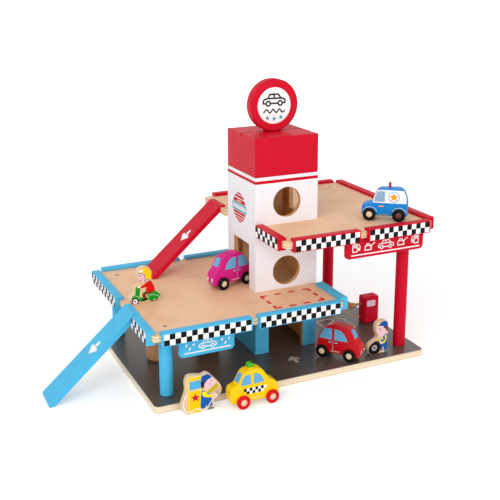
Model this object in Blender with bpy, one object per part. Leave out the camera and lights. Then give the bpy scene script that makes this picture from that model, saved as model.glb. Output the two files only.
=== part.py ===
"""Wooden toy garage: two parking decks on posts, a lift tower, ramps, a car wash, a fuel pump, four cars
and three flat figures.

All sizes are millimetres. Everything is laid out from the front-left bottom corner of the base board:
X runs to the right along the front, Y to the rear and Z up. One empty carries that corner, so that the
model's origin is the middle of the base board's underside.
"""

from math import atan2, cos, hypot, pi, radians, sin, tan

import bmesh
import bpy
from mathutils import Matrix, Vector

MM = 0.001

# Clearances
TOUCH = 0.3          # between faces that stand on, hang from or lie against each other
RUN_FIT = 0.3        # radial, round a pin or an axle that turns
SLIDE_FIT = 0.4      # each side of the lift cab in its shaft

# Base board
BASE_W, BASE_D, BASE_T = 460.0, 298.0, 11.0
BASE_CORNER = 8.0
BOARD_EASE = 0.8     # eased edges of the boards

# Decks: ply boards whose edges sit in grooved rails
DECK_T = 10.0
DECK_CORNER = 10.0
LOWER_TOP = 117.0
UPPER_TOP = 225.5
DECK_FRONT, DECK_REAR = 3.3, 302.7
LOWER_LEFT = 0.3
UPPER_LEFT, UPPER_REAR_LEFT, UPPER_RIGHT = 206.3, 198.3, 468.7

# Rails: a C-shaped section, printed with two rows of checker squares
RAIL_W, RAIL_H, RAIL_WEB = 14.0, 20.0, 7.0
RAIL_EASE = 1.5
SQUARE = 8.33
RAIL_MARGIN = 2.0    # bare end beyond the last square
LOWER_SQUARES, LOWER_SHORT_SQUARES, UPPER_SQUARES = 16, 8, 13
LOWER_RAIL_GAP, UPPER_RAIL_GAP = 11.8, 14.7
LEFT_FRONT_RAIL_Y = 10.0
LEFT_REAR_RAIL_Y = 159.0
RIGHT_FRONT_RAIL_Y, RIGHT_REAR_RAIL_Y = 10.0, 220.0
RIGHT_RAIL_LENGTH = 76.0
UPPER_LEFT_RAIL_Y, UPPER_LEFT_RAIL_LENGTH = 15.0, 76.0
UPPER_RIGHT_RAIL_Y, UPPER_RIGHT_RAIL_LENGTH = 13.0, 283.0

# Posts
POST_R = 10.0
POST_EASE = 1.0
BLUE_POSTS = {"blue_post_front": (29.0, 33.0), "blue_post_rear": (29.0, 272.0)}
RED_POSTS = {"red_post_front": (BASE_W - 26.0, 34.5), "red_post_rear": (BASE_W - 25.0, 272.0)}

# Tower: a square shaft of ply walls in two storeys, with a hollow cap
TOWER_X, TOWER_Y = 202.0, 97.0
TOWER_W, TOWER_D = 109.0, 106.0
WALL_T = 8.0
TOWER_RISE = 76.8    # of the walls above the upper deck
GARAGE_DOOR_W, GARAGE_DOOR_H, GARAGE_DOOR_X = 62.0, 76.0, 225.5
DOOR_ROUND = 1.0
DECK_DOOR_W, LOWER_DOOR_H, UPPER_DOOR_H = 59.0, 74.0, 65.5
WINDOW_R = 24.0
LOWER_WINDOW_UP, UPPER_WINDOW_UP = 30.3, 34.0   # centres above the decks
CAP_H, CAP_T = 60.9, 8.0
CAP_EASE = 1.0
GROOVE_W, GROOVE_DEPTH = 4.0, 4.0

# Round sign in the cap's groove
SIGN_R, SIGN_T, SIGN_EASE = 41.2, 17.0, 1.5
TONGUE_LENGTH = 30.0

# Hanging sign boards, close behind the front rails
SIGN_BOARD_T, SIGN_BOARD_CORNER = 6.0, 7.0
WASH_SIGN_X, WASH_SIGN_W, WASH_SIGN_H = 41.5, 86.0, 33.7
FUEL_SIGN_X, FUEL_SIGN_W, FUEL_SIGN_H = 313.0, 142.5, 33.7

# Lift: the cab fills the shaft between the deck's sill and the right wall
SILL = 12.5          # of the lower deck inside the tower, at its left door
CAB_T = 6.0
CAB_H = 71.0

# Ramps: a board with a thin lip that lies on the deck
RAMP_W, RAMP_T = 46.0, 8.0
LIP_T, LIP_LENGTH = 3.2, 9.0
RAMP_TOE = 4.0
BLUE_RAMP_Y, BLUE_RAMP_RUN = 85.0, 131.0
RED_RAMP_Y, RED_RAMP_RUN = 225.0, 121.8

# Car-wash rollers: turned wood on integral pins
ROLLER_R, ROLLER_FLARE = 19.5, 1.3
ROLLER_ROUND = 6.0
PIN_R, PIN_LENGTH = 3.0, 5.0
ROLLERS = {"wash_roller_left": (58.0, 154.0), "wash_roller_right": (142.0, 154.0)}

# Fuel pump
PUMP_FROM_RIGHT = 34.0                          # of the base board, to the pump's left face
PUMP_X, PUMP_Y = BASE_W - PUMP_FROM_RIGHT, 129.0
PUMP_W, PUMP_D, PUMP_H = 30.0, 20.0, 49.0
PUMP_EASE = 3.0
NOZZLE_UP, NOZZLE_IN = 34.0, 12.0               # height on the pump, depth from the pump's front face
NOZZLE_PLUG_R, NOZZLE_PLUG_LENGTH = 2.5, 11.0
NOZZLE_LENGTH = 28.0                            # that shows
HOSE_R = 1.0
HOSE_UP, HOSE_IN = 9.5, 13.0

# Cars: a block body cut to its outline, with a turned wheelset at each end
CAR_BODY_W, CAR_EASE = 19.5, 2.4
WHEEL_R, WHEEL_T = 10.25, 4.4
WHEEL_TRACK = CAR_BODY_W + 2 * (WHEEL_T + TOUCH)
WHEEL_EASE = 1.2
HUB_R, HUB_PROUD = 4.2, 0.6
AXLE_R = 2.5
WHEELBASE = 46.0
VAN_ROOF, TAXI_ROOF = 52.8, 57.1                # under the beacon and under the lamp
BEACON_R, BEACON_H, BEACON_X = 2.3, 8.2, -7.5
TAXI_LAMP = (8.5, 9.0, 7.8)                     # across, along and up
TAXI_LAMP_X = 8.0

# Flat figures
FIGURE_T, FIGURE_EASE = 10.0, 1.0


for old in list(bpy.data.objects):
    bpy.data.objects.remove(old, do_unlink=True)


# Materials

def paint(name, hex_colour, roughness=0.35):
    """A plain painted or bare surface of one colour."""
    material = bpy.data.materials.new(name)
    material.use_nodes = True
    shader = material.node_tree.nodes["Principled BSDF"]
    channels = [int(hex_colour[i:i + 2], 16) / 255 for i in (1, 3, 5)]
    linear = [c / 12.92 if c <= 0.04045 else ((c + 0.055) / 1.055) ** 2.4 for c in channels]
    shader.inputs["Base Color"].default_value = (*linear, 1.0)
    shader.inputs["Roughness"].default_value = roughness
    material.diffuse_color = (*linear, 1.0)
    return material


PLY = paint("birch_ply", "#E8C29A", 0.5)
PRINTED_BASE = paint("printed_base", "#5A4F4A", 0.2)
BLUE = paint("blue_paint", "#5BB8E8")
RED = paint("red_paint", "#D8152F")
WHITE = paint("white_paint", "#FBF9FA")
TURNED = paint("turned_wood", "#C08A62", 0.5)
STRING = paint("waxed_string", "#D9A98F", 0.6)
YELLOW = paint("yellow_paint", "#FFD500")
PINK = paint("pink_paint", "#D8208C")
POLICE_BLUE = paint("deep_blue_paint", "#1388DC")
BLACK = paint("black_paint", "#1A1A1A")
FIGURE_WOOD = paint("figure_ply", "#EBCFA8", 0.5)


# Tools that make and place the pieces

def empty(name, x=0.0, y=0.0, z=0.0, parent=None, turn=0.0):
    frame = bpy.data.objects.new(name, None)
    bpy.context.scene.collection.objects.link(frame)
    frame.location = (x * MM, y * MM, z * MM)
    frame.rotation_euler = (0.0, 0.0, turn)
    frame.parent = parent
    return frame


CORNER = empty("base_corner", -BASE_W / 2, -BASE_D / 2)


def piece(name, bm, material, at=(0.0, 0.0, 0.0), parent=CORNER, turn=0.0):
    """Makes an object of a bmesh in millimetres and puts it in its place."""
    bmesh.ops.scale(bm, vec=(MM, MM, MM), verts=bm.verts)
    bmesh.ops.recalc_face_normals(bm, faces=bm.faces)
    mesh = bpy.data.meshes.new(name)
    bm.to_mesh(mesh)
    bm.free()
    mesh.shade_smooth()
    mesh.set_sharp_from_angle(angle=radians(35))
    if material:
        mesh.materials.append(material)
    obj = bpy.data.objects.new(name, mesh)
    bpy.context.scene.collection.objects.link(obj)
    obj.location = [value * MM for value in at]
    obj.rotation_euler = (0.0, 0.0, turn)
    obj.parent = parent
    return obj


def rounded(corners, steps=5):
    """A closed outline whose corners (u, v, radius) are replaced by arcs."""
    outline = []
    for i, (u, v, radius) in enumerate(corners):
        corner = Vector((u, v))
        before = Vector(corners[i - 1][:2]) - corner
        after = Vector(corners[(i + 1) % len(corners)][:2]) - corner
        half = before.angle(after) / 2
        if radius <= 0 or abs(half - pi / 2) < 0.01:
            outline.append((u, v))
            continue
        reach = min(radius / tan(half), 0.48 * before.length, 0.48 * after.length)
        radius = reach * tan(half)
        start = corner + before.normalized() * reach
        centre = corner + (before.normalized() + after.normalized()).normalized() * (radius / sin(half))
        first = start - centre
        sweep = pi - 2 * half
        if before.x * after.y - before.y * after.x > 0:
            sweep = -sweep
        for k in range(steps + 1):
            angle = sweep * k / steps
            outline.append((centre.x + first.x * cos(angle) - first.y * sin(angle),
                            centre.y + first.x * sin(angle) + first.y * cos(angle)))
    return outline


def smooth_curve(points, per_span):
    """Points along a Catmull-Rom curve from the first to the last of the given ones."""
    points = [Vector(p) for p in points]
    last = len(points) - 1
    curve = []
    for i in range(last):
        a, b, c, d = (points[min(max(i + k, 0), last)] for k in (-1, 0, 1, 2))
        for k in range(per_span):
            t = k / per_span
            curve.append(0.5 * (2 * b + (c - a) * t + (2 * a - 5 * b + 4 * c - d) * t ** 2
                                + (3 * b - a - 3 * c + d) * t ** 3))
    curve.append(points[-1])
    return [tuple(p) for p in curve]


def prism(outline, plane, start, depth):
    """A bmesh of the outline, drawn in plane XY, XZ or YZ, and extruded along the third axis."""
    axes = {"XY": (0, 1, 2), "XZ": (0, 2, 1), "YZ": (1, 2, 0)}[plane]
    bm = bmesh.new()
    corners = []
    for u, v in outline:
        point = [0.0, 0.0, 0.0]
        point[axes[0]], point[axes[1]], point[axes[2]] = u, v, start
        corners.append(bm.verts.new(point))
    face = bm.faces.new(corners)
    swept = bmesh.ops.extrude_face_region(bm, geom=[face])
    push = [0.0, 0.0, 0.0]
    push[axes[2]] = depth
    bmesh.ops.translate(bm, vec=push, verts=[e for e in swept["geom"] if isinstance(e, bmesh.types.BMVert)])
    return bm


def block(low, high):
    """A bmesh of a box between two corners."""
    outline = [(low[0], low[1]), (high[0], low[1]), (high[0], high[1]), (low[0], high[1])]
    return prism(outline, "XY", low[2], high[2] - low[2])


def turned(profile, steps=32, axis="Z"):
    """A bmesh of a profile (radius, height) that is turned round an axis."""
    bm = bmesh.new()
    points = [bm.verts.new((radius, 0.0, height)) for radius, height in profile]
    edges = [bm.edges.new(pair) for pair in zip(points, points[1:])]
    bmesh.ops.spin(bm, geom=points + edges, cent=(0, 0, 0), axis=(0, 0, 1), angle=2 * pi, steps=steps,
                   use_merge=True)
    bmesh.ops.remove_doubles(bm, verts=bm.verts[:], dist=0.001)
    tilt = {"Z": Matrix(), "Y": Matrix.Rotation(-pi / 2, 3, "X"), "X": Matrix.Rotation(pi / 2, 3, "Y")}[axis]
    bmesh.ops.rotate(bm, cent=(0, 0, 0), matrix=tilt.to_3x3(), verts=bm.verts)
    return bm


def rod(radius, low, high, steps=32, axis="Z"):
    return turned([(0, low), (radius, low), (radius, high), (0, high)], steps, axis)


def ease(obj, width, segments=2):
    """Rounds the edges of a piece."""
    bevel = obj.modifiers.new("ease", "BEVEL")
    bevel.width = width * MM
    bevel.segments = segments
    bevel.limit_method = "ANGLE"
    bevel.angle_limit = radians(40)
    bevel.use_clamp_overlap = True
    return obj


def combine(obj, bm, operation="DIFFERENCE"):
    """Cuts a bmesh out of a piece, or joins it to the piece, in the piece's own coordinates."""
    tool = piece(obj.name + "_tool", bm, None, parent=obj)
    tool.hide_render = True
    tool.display_type = "WIRE"
    boolean = obj.modifiers.new(operation.lower(), "BOOLEAN")
    boolean.operation = operation
    boolean.solver = "EXACT"
    boolean.object = tool
    return obj


# Base board and decks

tower_x1, tower_y1 = TOWER_X + TOWER_W, TOWER_Y + TOWER_D
shaft_x1 = tower_x1 - WALL_T
shaft_y0, shaft_y1 = TOWER_Y + WALL_T, tower_y1 - WALL_T
sill_x = TOWER_X + WALL_T + SILL
lower_under, upper_under = LOWER_TOP - DECK_T, UPPER_TOP - DECK_T

base_board = ease(piece("base_board", prism(rounded(
    [(0, 0, BASE_CORNER), (BASE_W, 0, BASE_CORNER), (BASE_W, BASE_D, BASE_CORNER), (0, BASE_D, BASE_CORNER)]),
    "XY", 0, BASE_T), PRINTED_BASE), BOARD_EASE, 1)

lower_deck = piece("lower_deck", prism(rounded(
    [(LOWER_LEFT, DECK_FRONT, DECK_CORNER), (tower_x1, DECK_FRONT, DECK_CORNER),
     (tower_x1, DECK_REAR, DECK_CORNER), (LOWER_LEFT, DECK_REAR, DECK_CORNER)]),
    "XY", lower_under, DECK_T), PLY)
combine(lower_deck, block((sill_x, shaft_y0, lower_under - 5), (shaft_x1, shaft_y1, LOWER_TOP + 5)))

notch_x, notch_y0, notch_y1 = tower_x1 + TOUCH, TOWER_Y - TOUCH, tower_y1 + TOUCH
upper_deck = piece("upper_deck", prism(rounded(
    [(UPPER_LEFT, DECK_FRONT, DECK_CORNER), (UPPER_RIGHT, DECK_FRONT, DECK_CORNER),
     (UPPER_RIGHT, DECK_REAR, DECK_CORNER), (UPPER_REAR_LEFT, DECK_REAR, DECK_CORNER),
     (UPPER_REAR_LEFT, notch_y1, 2), (notch_x, notch_y1, 0), (notch_x, notch_y0, 0), (UPPER_LEFT, notch_y0, 2)]),
    "XY", upper_under, DECK_T), PLY)


# Rails along the deck edges

rail_lip = (RAIL_H - DECK_T) / 2 - TOUCH
RAIL_SECTION = rounded([(0, 0, RAIL_EASE), (RAIL_W, 0, RAIL_EASE), (RAIL_W, rail_lip, 0), (RAIL_WEB, rail_lip, 0),
                        (RAIL_WEB, RAIL_H - rail_lip, 0), (RAIL_W, RAIL_H - rail_lip, 0),
                        (RAIL_W, RAIL_H, RAIL_EASE), (0, RAIL_H, RAIL_EASE)], steps=2)
outward = RAIL_WEB + TOUCH       # from a deck's edge to a rail's outer face


def rail(name, side, start, length, edge, deck_top, material):
    """A grooved rail of the given length on one edge of a deck; start is its lower coordinate."""
    low = deck_top - DECK_T / 2 - RAIL_H / 2
    at, turn = {"front": ((start, edge - outward, low), 0),
                "rear": ((start + length, edge + outward, low), pi),
                "left": ((edge - outward, start + length, low), -pi / 2),
                "right": ((edge + outward, start, low), pi / 2)}[side]
    return piece(name, prism(RAIL_SECTION, "YZ", 0, length), material, at, turn=turn)


def checkered(squares):
    return squares * SQUARE + 2 * RAIL_MARGIN


def pair_starts(low, high, length, gap):
    """Where two rails start that stand evenly on an edge."""
    first = (low + high - 2 * length - gap) / 2
    return first, first + length + gap


lower_length, lower_short = checkered(LOWER_SQUARES), checkered(LOWER_SHORT_SQUARES)
upper_length = checkered(UPPER_SQUARES)
lower_starts = pair_starts(LOWER_LEFT, tower_x1, lower_length, LOWER_RAIL_GAP)
upper_starts = pair_starts(UPPER_LEFT, UPPER_RIGHT, upper_length, UPPER_RAIL_GAP)
for word, lower_x, upper_x in zip(("left", "right"), lower_starts, upper_starts):
    rail(f"blue_rail_front_{word}", "front", lower_x, lower_length, DECK_FRONT, LOWER_TOP, BLUE)
    rail(f"blue_rail_rear_{word}", "rear", lower_x, lower_length, DECK_REAR, LOWER_TOP, BLUE)
    rail(f"red_rail_front_{word}", "front", upper_x, upper_length, DECK_FRONT, UPPER_TOP, RED)
    rail(f"red_rail_rear_{word}", "rear", upper_x, upper_length, DECK_REAR, UPPER_TOP, RED)
rail("blue_rail_left_front", "left", LEFT_FRONT_RAIL_Y, lower_short, LOWER_LEFT, LOWER_TOP, BLUE)
rail("blue_rail_left_rear", "left", LEFT_REAR_RAIL_Y, lower_length, LOWER_LEFT, LOWER_TOP, BLUE)
rail("blue_rail_right_front", "right", RIGHT_FRONT_RAIL_Y, RIGHT_RAIL_LENGTH, tower_x1, LOWER_TOP, BLUE)
rail("blue_rail_right_rear", "right", RIGHT_REAR_RAIL_Y, RIGHT_RAIL_LENGTH, tower_x1, LOWER_TOP, BLUE)
rail("red_rail_left", "left", UPPER_LEFT_RAIL_Y, UPPER_LEFT_RAIL_LENGTH, UPPER_LEFT, UPPER_TOP, RED)
rail("red_rail_right", "right", UPPER_RIGHT_RAIL_Y, UPPER_RIGHT_RAIL_LENGTH, UPPER_RIGHT, UPPER_TOP, RED)


# Posts

for posts, under, material in ((BLUE_POSTS, lower_under, BLUE), (RED_POSTS, upper_under, RED)):
    height = under - BASE_T - 2 * TOUCH
    for name, (x, y) in posts.items():
        profile = [(0, 0), (POST_R - POST_EASE, 0), (POST_R, POST_EASE), (POST_R, height - POST_EASE),
                   (POST_R - POST_EASE, height), (0, height)]
        piece(name, turned(profile, 40), material, (x, y, BASE_T + TOUCH))


# Tower walls: the front and rear ones run full width, the side ones stand between them

lower_z0, lower_z1 = BASE_T + TOUCH, lower_under - TOUCH
upper_z0, upper_z1 = LOWER_TOP + TOUCH, UPPER_TOP + TOWER_RISE
side_y0, side_y1 = shaft_y0 + TOUCH, shaft_y1 - TOUCH
door_y0 = (TOWER_Y + tower_y1 - DECK_DOOR_W) / 2
door_y1 = door_y0 + DECK_DOOR_W
window_x = (TOWER_X + tower_x1) / 2


def plain_wall(u0, u1, z0, z1):
    return [(u0, z0), (u1, z0), (u1, z1), (u0, z1)]


def wall_with_door(u0, u1, z0, z1, door0, door1, door_top):
    """The outline of a wall whose doorway is open at the foot."""
    return rounded([(u0, z0, 0), (door0, z0, 0), (door0, door_top, DOOR_ROUND), (door1, door_top, DOOR_ROUND),
                    (door1, z0, 0), (u1, z0, 0), (u1, z1, 0), (u0, z1, 0)])


def wall(name, outline, plane, start, material):
    return piece(name, prism(outline, plane, start, WALL_T), material)


wall("garage_wall_front", wall_with_door(TOWER_X, tower_x1, lower_z0, lower_z1, GARAGE_DOOR_X,
     GARAGE_DOOR_X + GARAGE_DOOR_W, BASE_T + GARAGE_DOOR_H), "XZ", TOWER_Y, BLUE)
wall("garage_wall_rear", plain_wall(TOWER_X, tower_x1, lower_z0, lower_z1), "XZ", shaft_y1, BLUE)
wall("garage_wall_left", plain_wall(side_y0, side_y1, lower_z0, lower_z1), "YZ", TOWER_X, BLUE)
wall("garage_wall_right", plain_wall(side_y0, side_y1, lower_z0, lower_z1), "YZ", shaft_x1, BLUE)

tower_front = wall("tower_wall_front", plain_wall(TOWER_X, tower_x1, upper_z0, upper_z1), "XZ", TOWER_Y, WHITE)
for centre_z in (LOWER_TOP + LOWER_WINDOW_UP, UPPER_TOP + UPPER_WINDOW_UP):
    window = rod(WINDOW_R, TOWER_Y - 5, shaft_y0 + 5, 48, "Y")
    bmesh.ops.translate(window, vec=(window_x, 0, centre_z), verts=window.verts)
    combine(tower_front, window)
wall("tower_wall_rear", plain_wall(TOWER_X, tower_x1, upper_z0, upper_z1), "XZ", shaft_y1, WHITE)
wall("tower_wall_left", wall_with_door(side_y0, side_y1, upper_z0, upper_z1, door_y0, door_y1,
     LOWER_TOP + LOWER_DOOR_H), "YZ", TOWER_X, WHITE)
tower_right = wall("tower_wall_right", plain_wall(side_y0, side_y1, upper_z0, upper_z1), "YZ", shaft_x1, WHITE)
combine(tower_right, prism(rounded(
    [(door_y0, UPPER_TOP, 0), (door_y1, UPPER_TOP, 0), (door_y1, UPPER_TOP + UPPER_DOOR_H, DOOR_ROUND),
     (door_y0, UPPER_TOP + UPPER_DOOR_H, DOOR_ROUND)]), "YZ", shaft_x1 - 5, WALL_T + 10))

cap_z0 = upper_z1 + TOUCH
cap_z1 = cap_z0 + CAP_H
tower_mid_y = (TOWER_Y + tower_y1) / 2
tower_cap = ease(piece("tower_cap", block((TOWER_X, TOWER_Y, cap_z0), (tower_x1, tower_y1, cap_z1)), RED), CAP_EASE)
combine(tower_cap, block((TOWER_X + CAP_T, TOWER_Y + CAP_T, cap_z0 - 5),
                         (tower_x1 - CAP_T, tower_y1 - CAP_T, cap_z1 - CAP_T)))
combine(tower_cap, block((TOWER_X - 5, tower_mid_y - GROOVE_W / 2, cap_z1 - GROOVE_DEPTH),
                         (tower_x1 + 5, tower_mid_y + GROOVE_W / 2, cap_z1 + 5)))


# Signs

sign_z = cap_z1 + TOUCH + SIGN_R
rim = SIGN_R - SIGN_EASE
sign_disc = piece("sign_disc", turned([(0, -SIGN_T / 2), (rim, -SIGN_T / 2), (SIGN_R, -SIGN_T / 2 + SIGN_EASE),
                                       (SIGN_R, SIGN_T / 2 - SIGN_EASE), (rim, SIGN_T / 2), (0, SIGN_T / 2)],
                                      64, "Y"), RED, (window_x, tower_mid_y, sign_z))
tongue_foot = cap_z1 - GROOVE_DEPTH + TOUCH - sign_z
combine(sign_disc, block((-TONGUE_LENGTH / 2, TOUCH - GROOVE_W / 2, tongue_foot),
                         (TONGUE_LENGTH / 2, GROOVE_W / 2 - TOUCH, -SIGN_R + 6)), "UNION")

sign_board_y = DECK_FRONT - outward + RAIL_W + TOUCH


def sign_board(name, x, width, height, under, material):
    """A board with rounded lower corners that hangs from a deck."""
    top = under - TOUCH
    outline = rounded([(x, top - height, SIGN_BOARD_CORNER), (x + width, top - height, SIGN_BOARD_CORNER),
                       (x + width, top, 0), (x, top, 0)])
    return ease(piece(name, prism(outline, "XZ", sign_board_y, SIGN_BOARD_T), material), BOARD_EASE, 1)


sign_board("wash_sign", WASH_SIGN_X, WASH_SIGN_W, WASH_SIGN_H, lower_under, BLUE)
sign_board("fuel_sign", FUEL_SIGN_X, FUEL_SIGN_W, FUEL_SIGN_H, upper_under, RED)


# Lift cab: floor, rear panel and roof; its origin is in the middle of the floor's top

cab_x0, cab_x1 = sill_x + SLIDE_FIT, shaft_x1 - SLIDE_FIT
cab_y0, cab_y1 = shaft_y0 + SLIDE_FIT, shaft_y1 - SLIDE_FIT
cab_mid_x, cab_mid_y = (cab_x0 + cab_x1) / 2, (cab_y0 + cab_y1) / 2
cab_half_x, cab_half_y = (cab_x1 - cab_x0) / 2, (cab_y1 - cab_y0) / 2
cab_roof = CAB_H - CAB_T
piece("lift_cab", prism([(-cab_half_y, -CAB_T), (cab_half_y, -CAB_T), (cab_half_y, cab_roof),
                         (-cab_half_y, cab_roof), (-cab_half_y, cab_roof - CAB_T),
                         (cab_half_y - CAB_T, cab_roof - CAB_T), (cab_half_y - CAB_T, 0), (-cab_half_y, 0)],
                        "YZ", -cab_half_x, 2 * cab_half_x), PLY, (cab_mid_x, cab_mid_y, LOWER_TOP))


# Ramps: each one's origin is on its hinge line, the underside of the lip's inner end

def ramp(name, edge, y, run, foot_z, deck_top, material):
    """A ramp from the floor at foot_z up to a deck edge, descending toward -X."""
    rise = deck_top - foot_z
    crease = (-LIP_LENGTH, LIP_T)
    toe = (crease[0] - run, RAMP_TOE - rise)
    length = hypot(crease[0] - toe[0], crease[1] - toe[1])
    slope = (crease[1] - toe[1]) / (crease[0] - toe[0])
    drop = RAMP_T * length / (crease[0] - toe[0])          # thickness measured straight down
    ground = TOUCH - (rise + TOUCH)
    heel = crease[0] - (crease[1] - drop - ground) / slope
    back = -LIP_LENGTH - TOUCH
    back_z = crease[1] - drop + slope * (back - crease[0])
    outline = [(0, 0), (0, LIP_T - 0.8), (-0.8, LIP_T), crease, toe, (toe[0], ground), (heel, ground),
               (back, back_z), (back, 0)]
    piece(name, prism(outline, "XZ", 0, RAMP_W), material,
          (edge + LIP_LENGTH, y, deck_top + TOUCH))


ramp("blue_ramp", LOWER_LEFT - TOUCH, BLUE_RAMP_Y, BLUE_RAMP_RUN, 0, LOWER_TOP, BLUE)
ramp("red_ramp", UPPER_REAR_LEFT - TOUCH, RED_RAMP_Y, RED_RAMP_RUN, LOWER_TOP, UPPER_TOP, RED)


# Car wash: the rollers turn on pins in blind holes of the base board and the deck

roller_h = lower_under - BASE_T - 2 * TOUCH
pin_hole = PIN_R + RUN_FIT
for name, (x, y) in ROLLERS.items():
    flare = ROLLER_R + ROLLER_FLARE
    profile = [(0, -PIN_LENGTH), (PIN_R, -PIN_LENGTH), (PIN_R, 0), (ROLLER_R - ROLLER_ROUND, 0),
               (ROLLER_R - ROLLER_ROUND * 0.3, ROLLER_ROUND * 0.3), (ROLLER_R, ROLLER_ROUND),
               (ROLLER_R, roller_h * 0.55), (flare, roller_h - 2), (flare - 2, roller_h),
               (PIN_R, roller_h), (PIN_R, roller_h + PIN_LENGTH), (0, roller_h + PIN_LENGTH)]
    piece(name, turned(profile, 32), TURNED, (x, y, BASE_T + TOUCH))
    for board, low, high in ((base_board, BASE_T - PIN_LENGTH - TOUCH, BASE_T + 5),
                             (lower_deck, lower_under - 5, lower_under + PIN_LENGTH + TOUCH)):
        hole = rod(pin_hole, low, high, 16)
        bmesh.ops.translate(hole, vec=(x, y, 0), verts=hole.verts)
        combine(board, hole)


# Fuel pump: the nozzle plugs into the pump's left face; its origin is where it enters

pump_z = BASE_T + TOUCH
nozzle_at = (PUMP_X, PUMP_Y + NOZZLE_IN, pump_z + NOZZLE_UP)
pump_body = ease(piece("pump_body", block((PUMP_X, PUMP_Y, pump_z),
                                          (PUMP_X + PUMP_W, PUMP_Y + PUMP_D, pump_z + PUMP_H)), RED), PUMP_EASE, 3)
socket = rod(NOZZLE_PLUG_R + RUN_FIT, -5, NOZZLE_PLUG_LENGTH + 1, 16, "X")
bmesh.ops.translate(socket, vec=nozzle_at, verts=socket.verts)
combine(pump_body, socket)
pump_nozzle = piece("pump_nozzle", turned(
    [(0, -NOZZLE_LENGTH), (2.0, -NOZZLE_LENGTH + 0.3), (2.8, -NOZZLE_LENGTH + 2), (2.2, -NOZZLE_LENGTH + 4),
     (4.0, -NOZZLE_LENGTH + 6.5), (4.8, -NOZZLE_LENGTH + 10), (4.2, -NOZZLE_LENGTH + 14),
     (NOZZLE_PLUG_R, -NOZZLE_LENGTH + 17), (NOZZLE_PLUG_R, NOZZLE_PLUG_LENGTH - 0.6),
     (NOZZLE_PLUG_R - 0.6, NOZZLE_PLUG_LENGTH), (0, NOZZLE_PLUG_LENGTH)], 20, "X"), TURNED, nozzle_at)
trigger_x = -NOZZLE_LENGTH + 11
combine(pump_nozzle, prism([(trigger_x - 5, -1.5), (trigger_x + 4, -1.5), (trigger_x - 1, -9.5),
                            (trigger_x - 3, -9.5)], "XZ", -1.6, 3.2), "UNION")

hose_start = Vector((PUMP_X - TOUCH, PUMP_Y + HOSE_IN, pump_z + HOSE_UP))
hose_end = Vector(nozzle_at) - Vector((NOZZLE_LENGTH + TOUCH, 0, 0))
hose_route = [hose_start, hose_start + Vector((-4, -1, 0.2)), hose_start + Vector((-14, -4, 4)),
              hose_start + Vector((-27, -5, 12.5)), hose_end + Vector((-7.5, -3, -6)),
              hose_end + Vector((-6.5, -1, -1)), hose_end + Vector((-2.5, 0, 0)), hose_end]
curve = bpy.data.curves.new("pump_hose", "CURVE")
curve.dimensions = "3D"
curve.bevel_depth = HOSE_R * MM
curve.bevel_resolution = 2
curve.use_fill_caps = True
spline = curve.splines.new("POLY")
hose_points = smooth_curve(hose_route, per_span=3)
spline.points.add(len(hose_points) - 1)
for point, place in zip(spline.points, hose_points):
    point.co = (*[value * MM for value in place], 1.0)
curve.materials.append(STRING)
pump_hose = bpy.data.objects.new("pump_hose", curve)
bpy.context.scene.collection.objects.link(pump_hose)
pump_hose.parent = CORNER


# Cars: outlines (along, up, corner radius) look at the side, with the nose toward +X

BEETLE = [(38, 8, 2), (41.5, 19, 8), (39, 29, 14), (32, 35, 4), (22, 54, 14), (-14, 58, 26), (-30, 38, 30),
          (-34.5, 12, 5), (-30, 9, 2)]
TAXI = [(39, 8.5, 3), (42.5, 15, 5), (42, 32, 7), (30.5, 36.5, 3), (20, 55.5, 12), (-6, 58.5, 14), (-20, 38, 5),
        (-31, 32, 8), (-35.5, 18, 8), (-33, 8.5, 3)]
VAN = [(35.5, 8, 3), (35.5, 26, 8), (20, 29.5, 3), (11, 52, 10), (-30, 53.5, 14), (-37, 34, 30), (-36.5, 8, 3)]
RED_CAR_FROM_RIGHT = 140.96                     # of the base board, to the red car's middle
CARS = {
    # name: outline, paint, wheel paint, middle between the wheels, heading, floor
    "red_car": (BEETLE, RED, BLACK, (BASE_W - RED_CAR_FROM_RIGHT, 35.75), (0.611, -0.792), BASE_T),
    "taxi": (TAXI, YELLOW, RED, (142.7, -25.95), (-1.0, 0.0), 0.0),
    "police_van": (VAN, POLICE_BLUE, BLACK, (405.32, 48.12), (-0.795, 0.607), UPPER_TOP),
    "pink_car": (BEETLE, PINK, BLACK, (181.9, 147.38), (-0.973, -0.231), LOWER_TOP),
}


def wheelset_profile():
    """An axle with a wheel and its peg on each end, from one end to the other."""
    face = WHEEL_TRACK / 2
    side = [(0, face + HUB_PROUD), (HUB_R - 0.6, face + HUB_PROUD), (HUB_R, face), (WHEEL_R - WHEEL_EASE, face),
            (WHEEL_R, face - WHEEL_EASE), (WHEEL_R, face - WHEEL_T), (AXLE_R, face - WHEEL_T)]
    return [(radius, -height) for radius, height in side] + list(reversed(side))


def car(name, outline, colour, wheel_colour, middle, heading, floor):
    frame = empty(name + "_frame", *middle, floor, CORNER, atan2(heading[1], heading[0]))
    body = ease(piece(name + "_body", prism(rounded(outline), "XZ", -CAR_BODY_W / 2, CAR_BODY_W), colour,
                      parent=frame), CAR_EASE)
    for word, along in (("front", WHEELBASE / 2), ("rear", -WHEELBASE / 2)):
        bore = rod(AXLE_R + RUN_FIT, -CAR_BODY_W, CAR_BODY_W, 16, "Y")
        bmesh.ops.translate(bore, vec=(along, 0, TOUCH + WHEEL_R), verts=bore.verts)
        combine(body, bore)
        piece(f"{name}_{word}_wheels", turned(wheelset_profile(), 20, "Y"), wheel_colour,
              (along, 0, TOUCH + WHEEL_R), frame)
    return body


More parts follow.
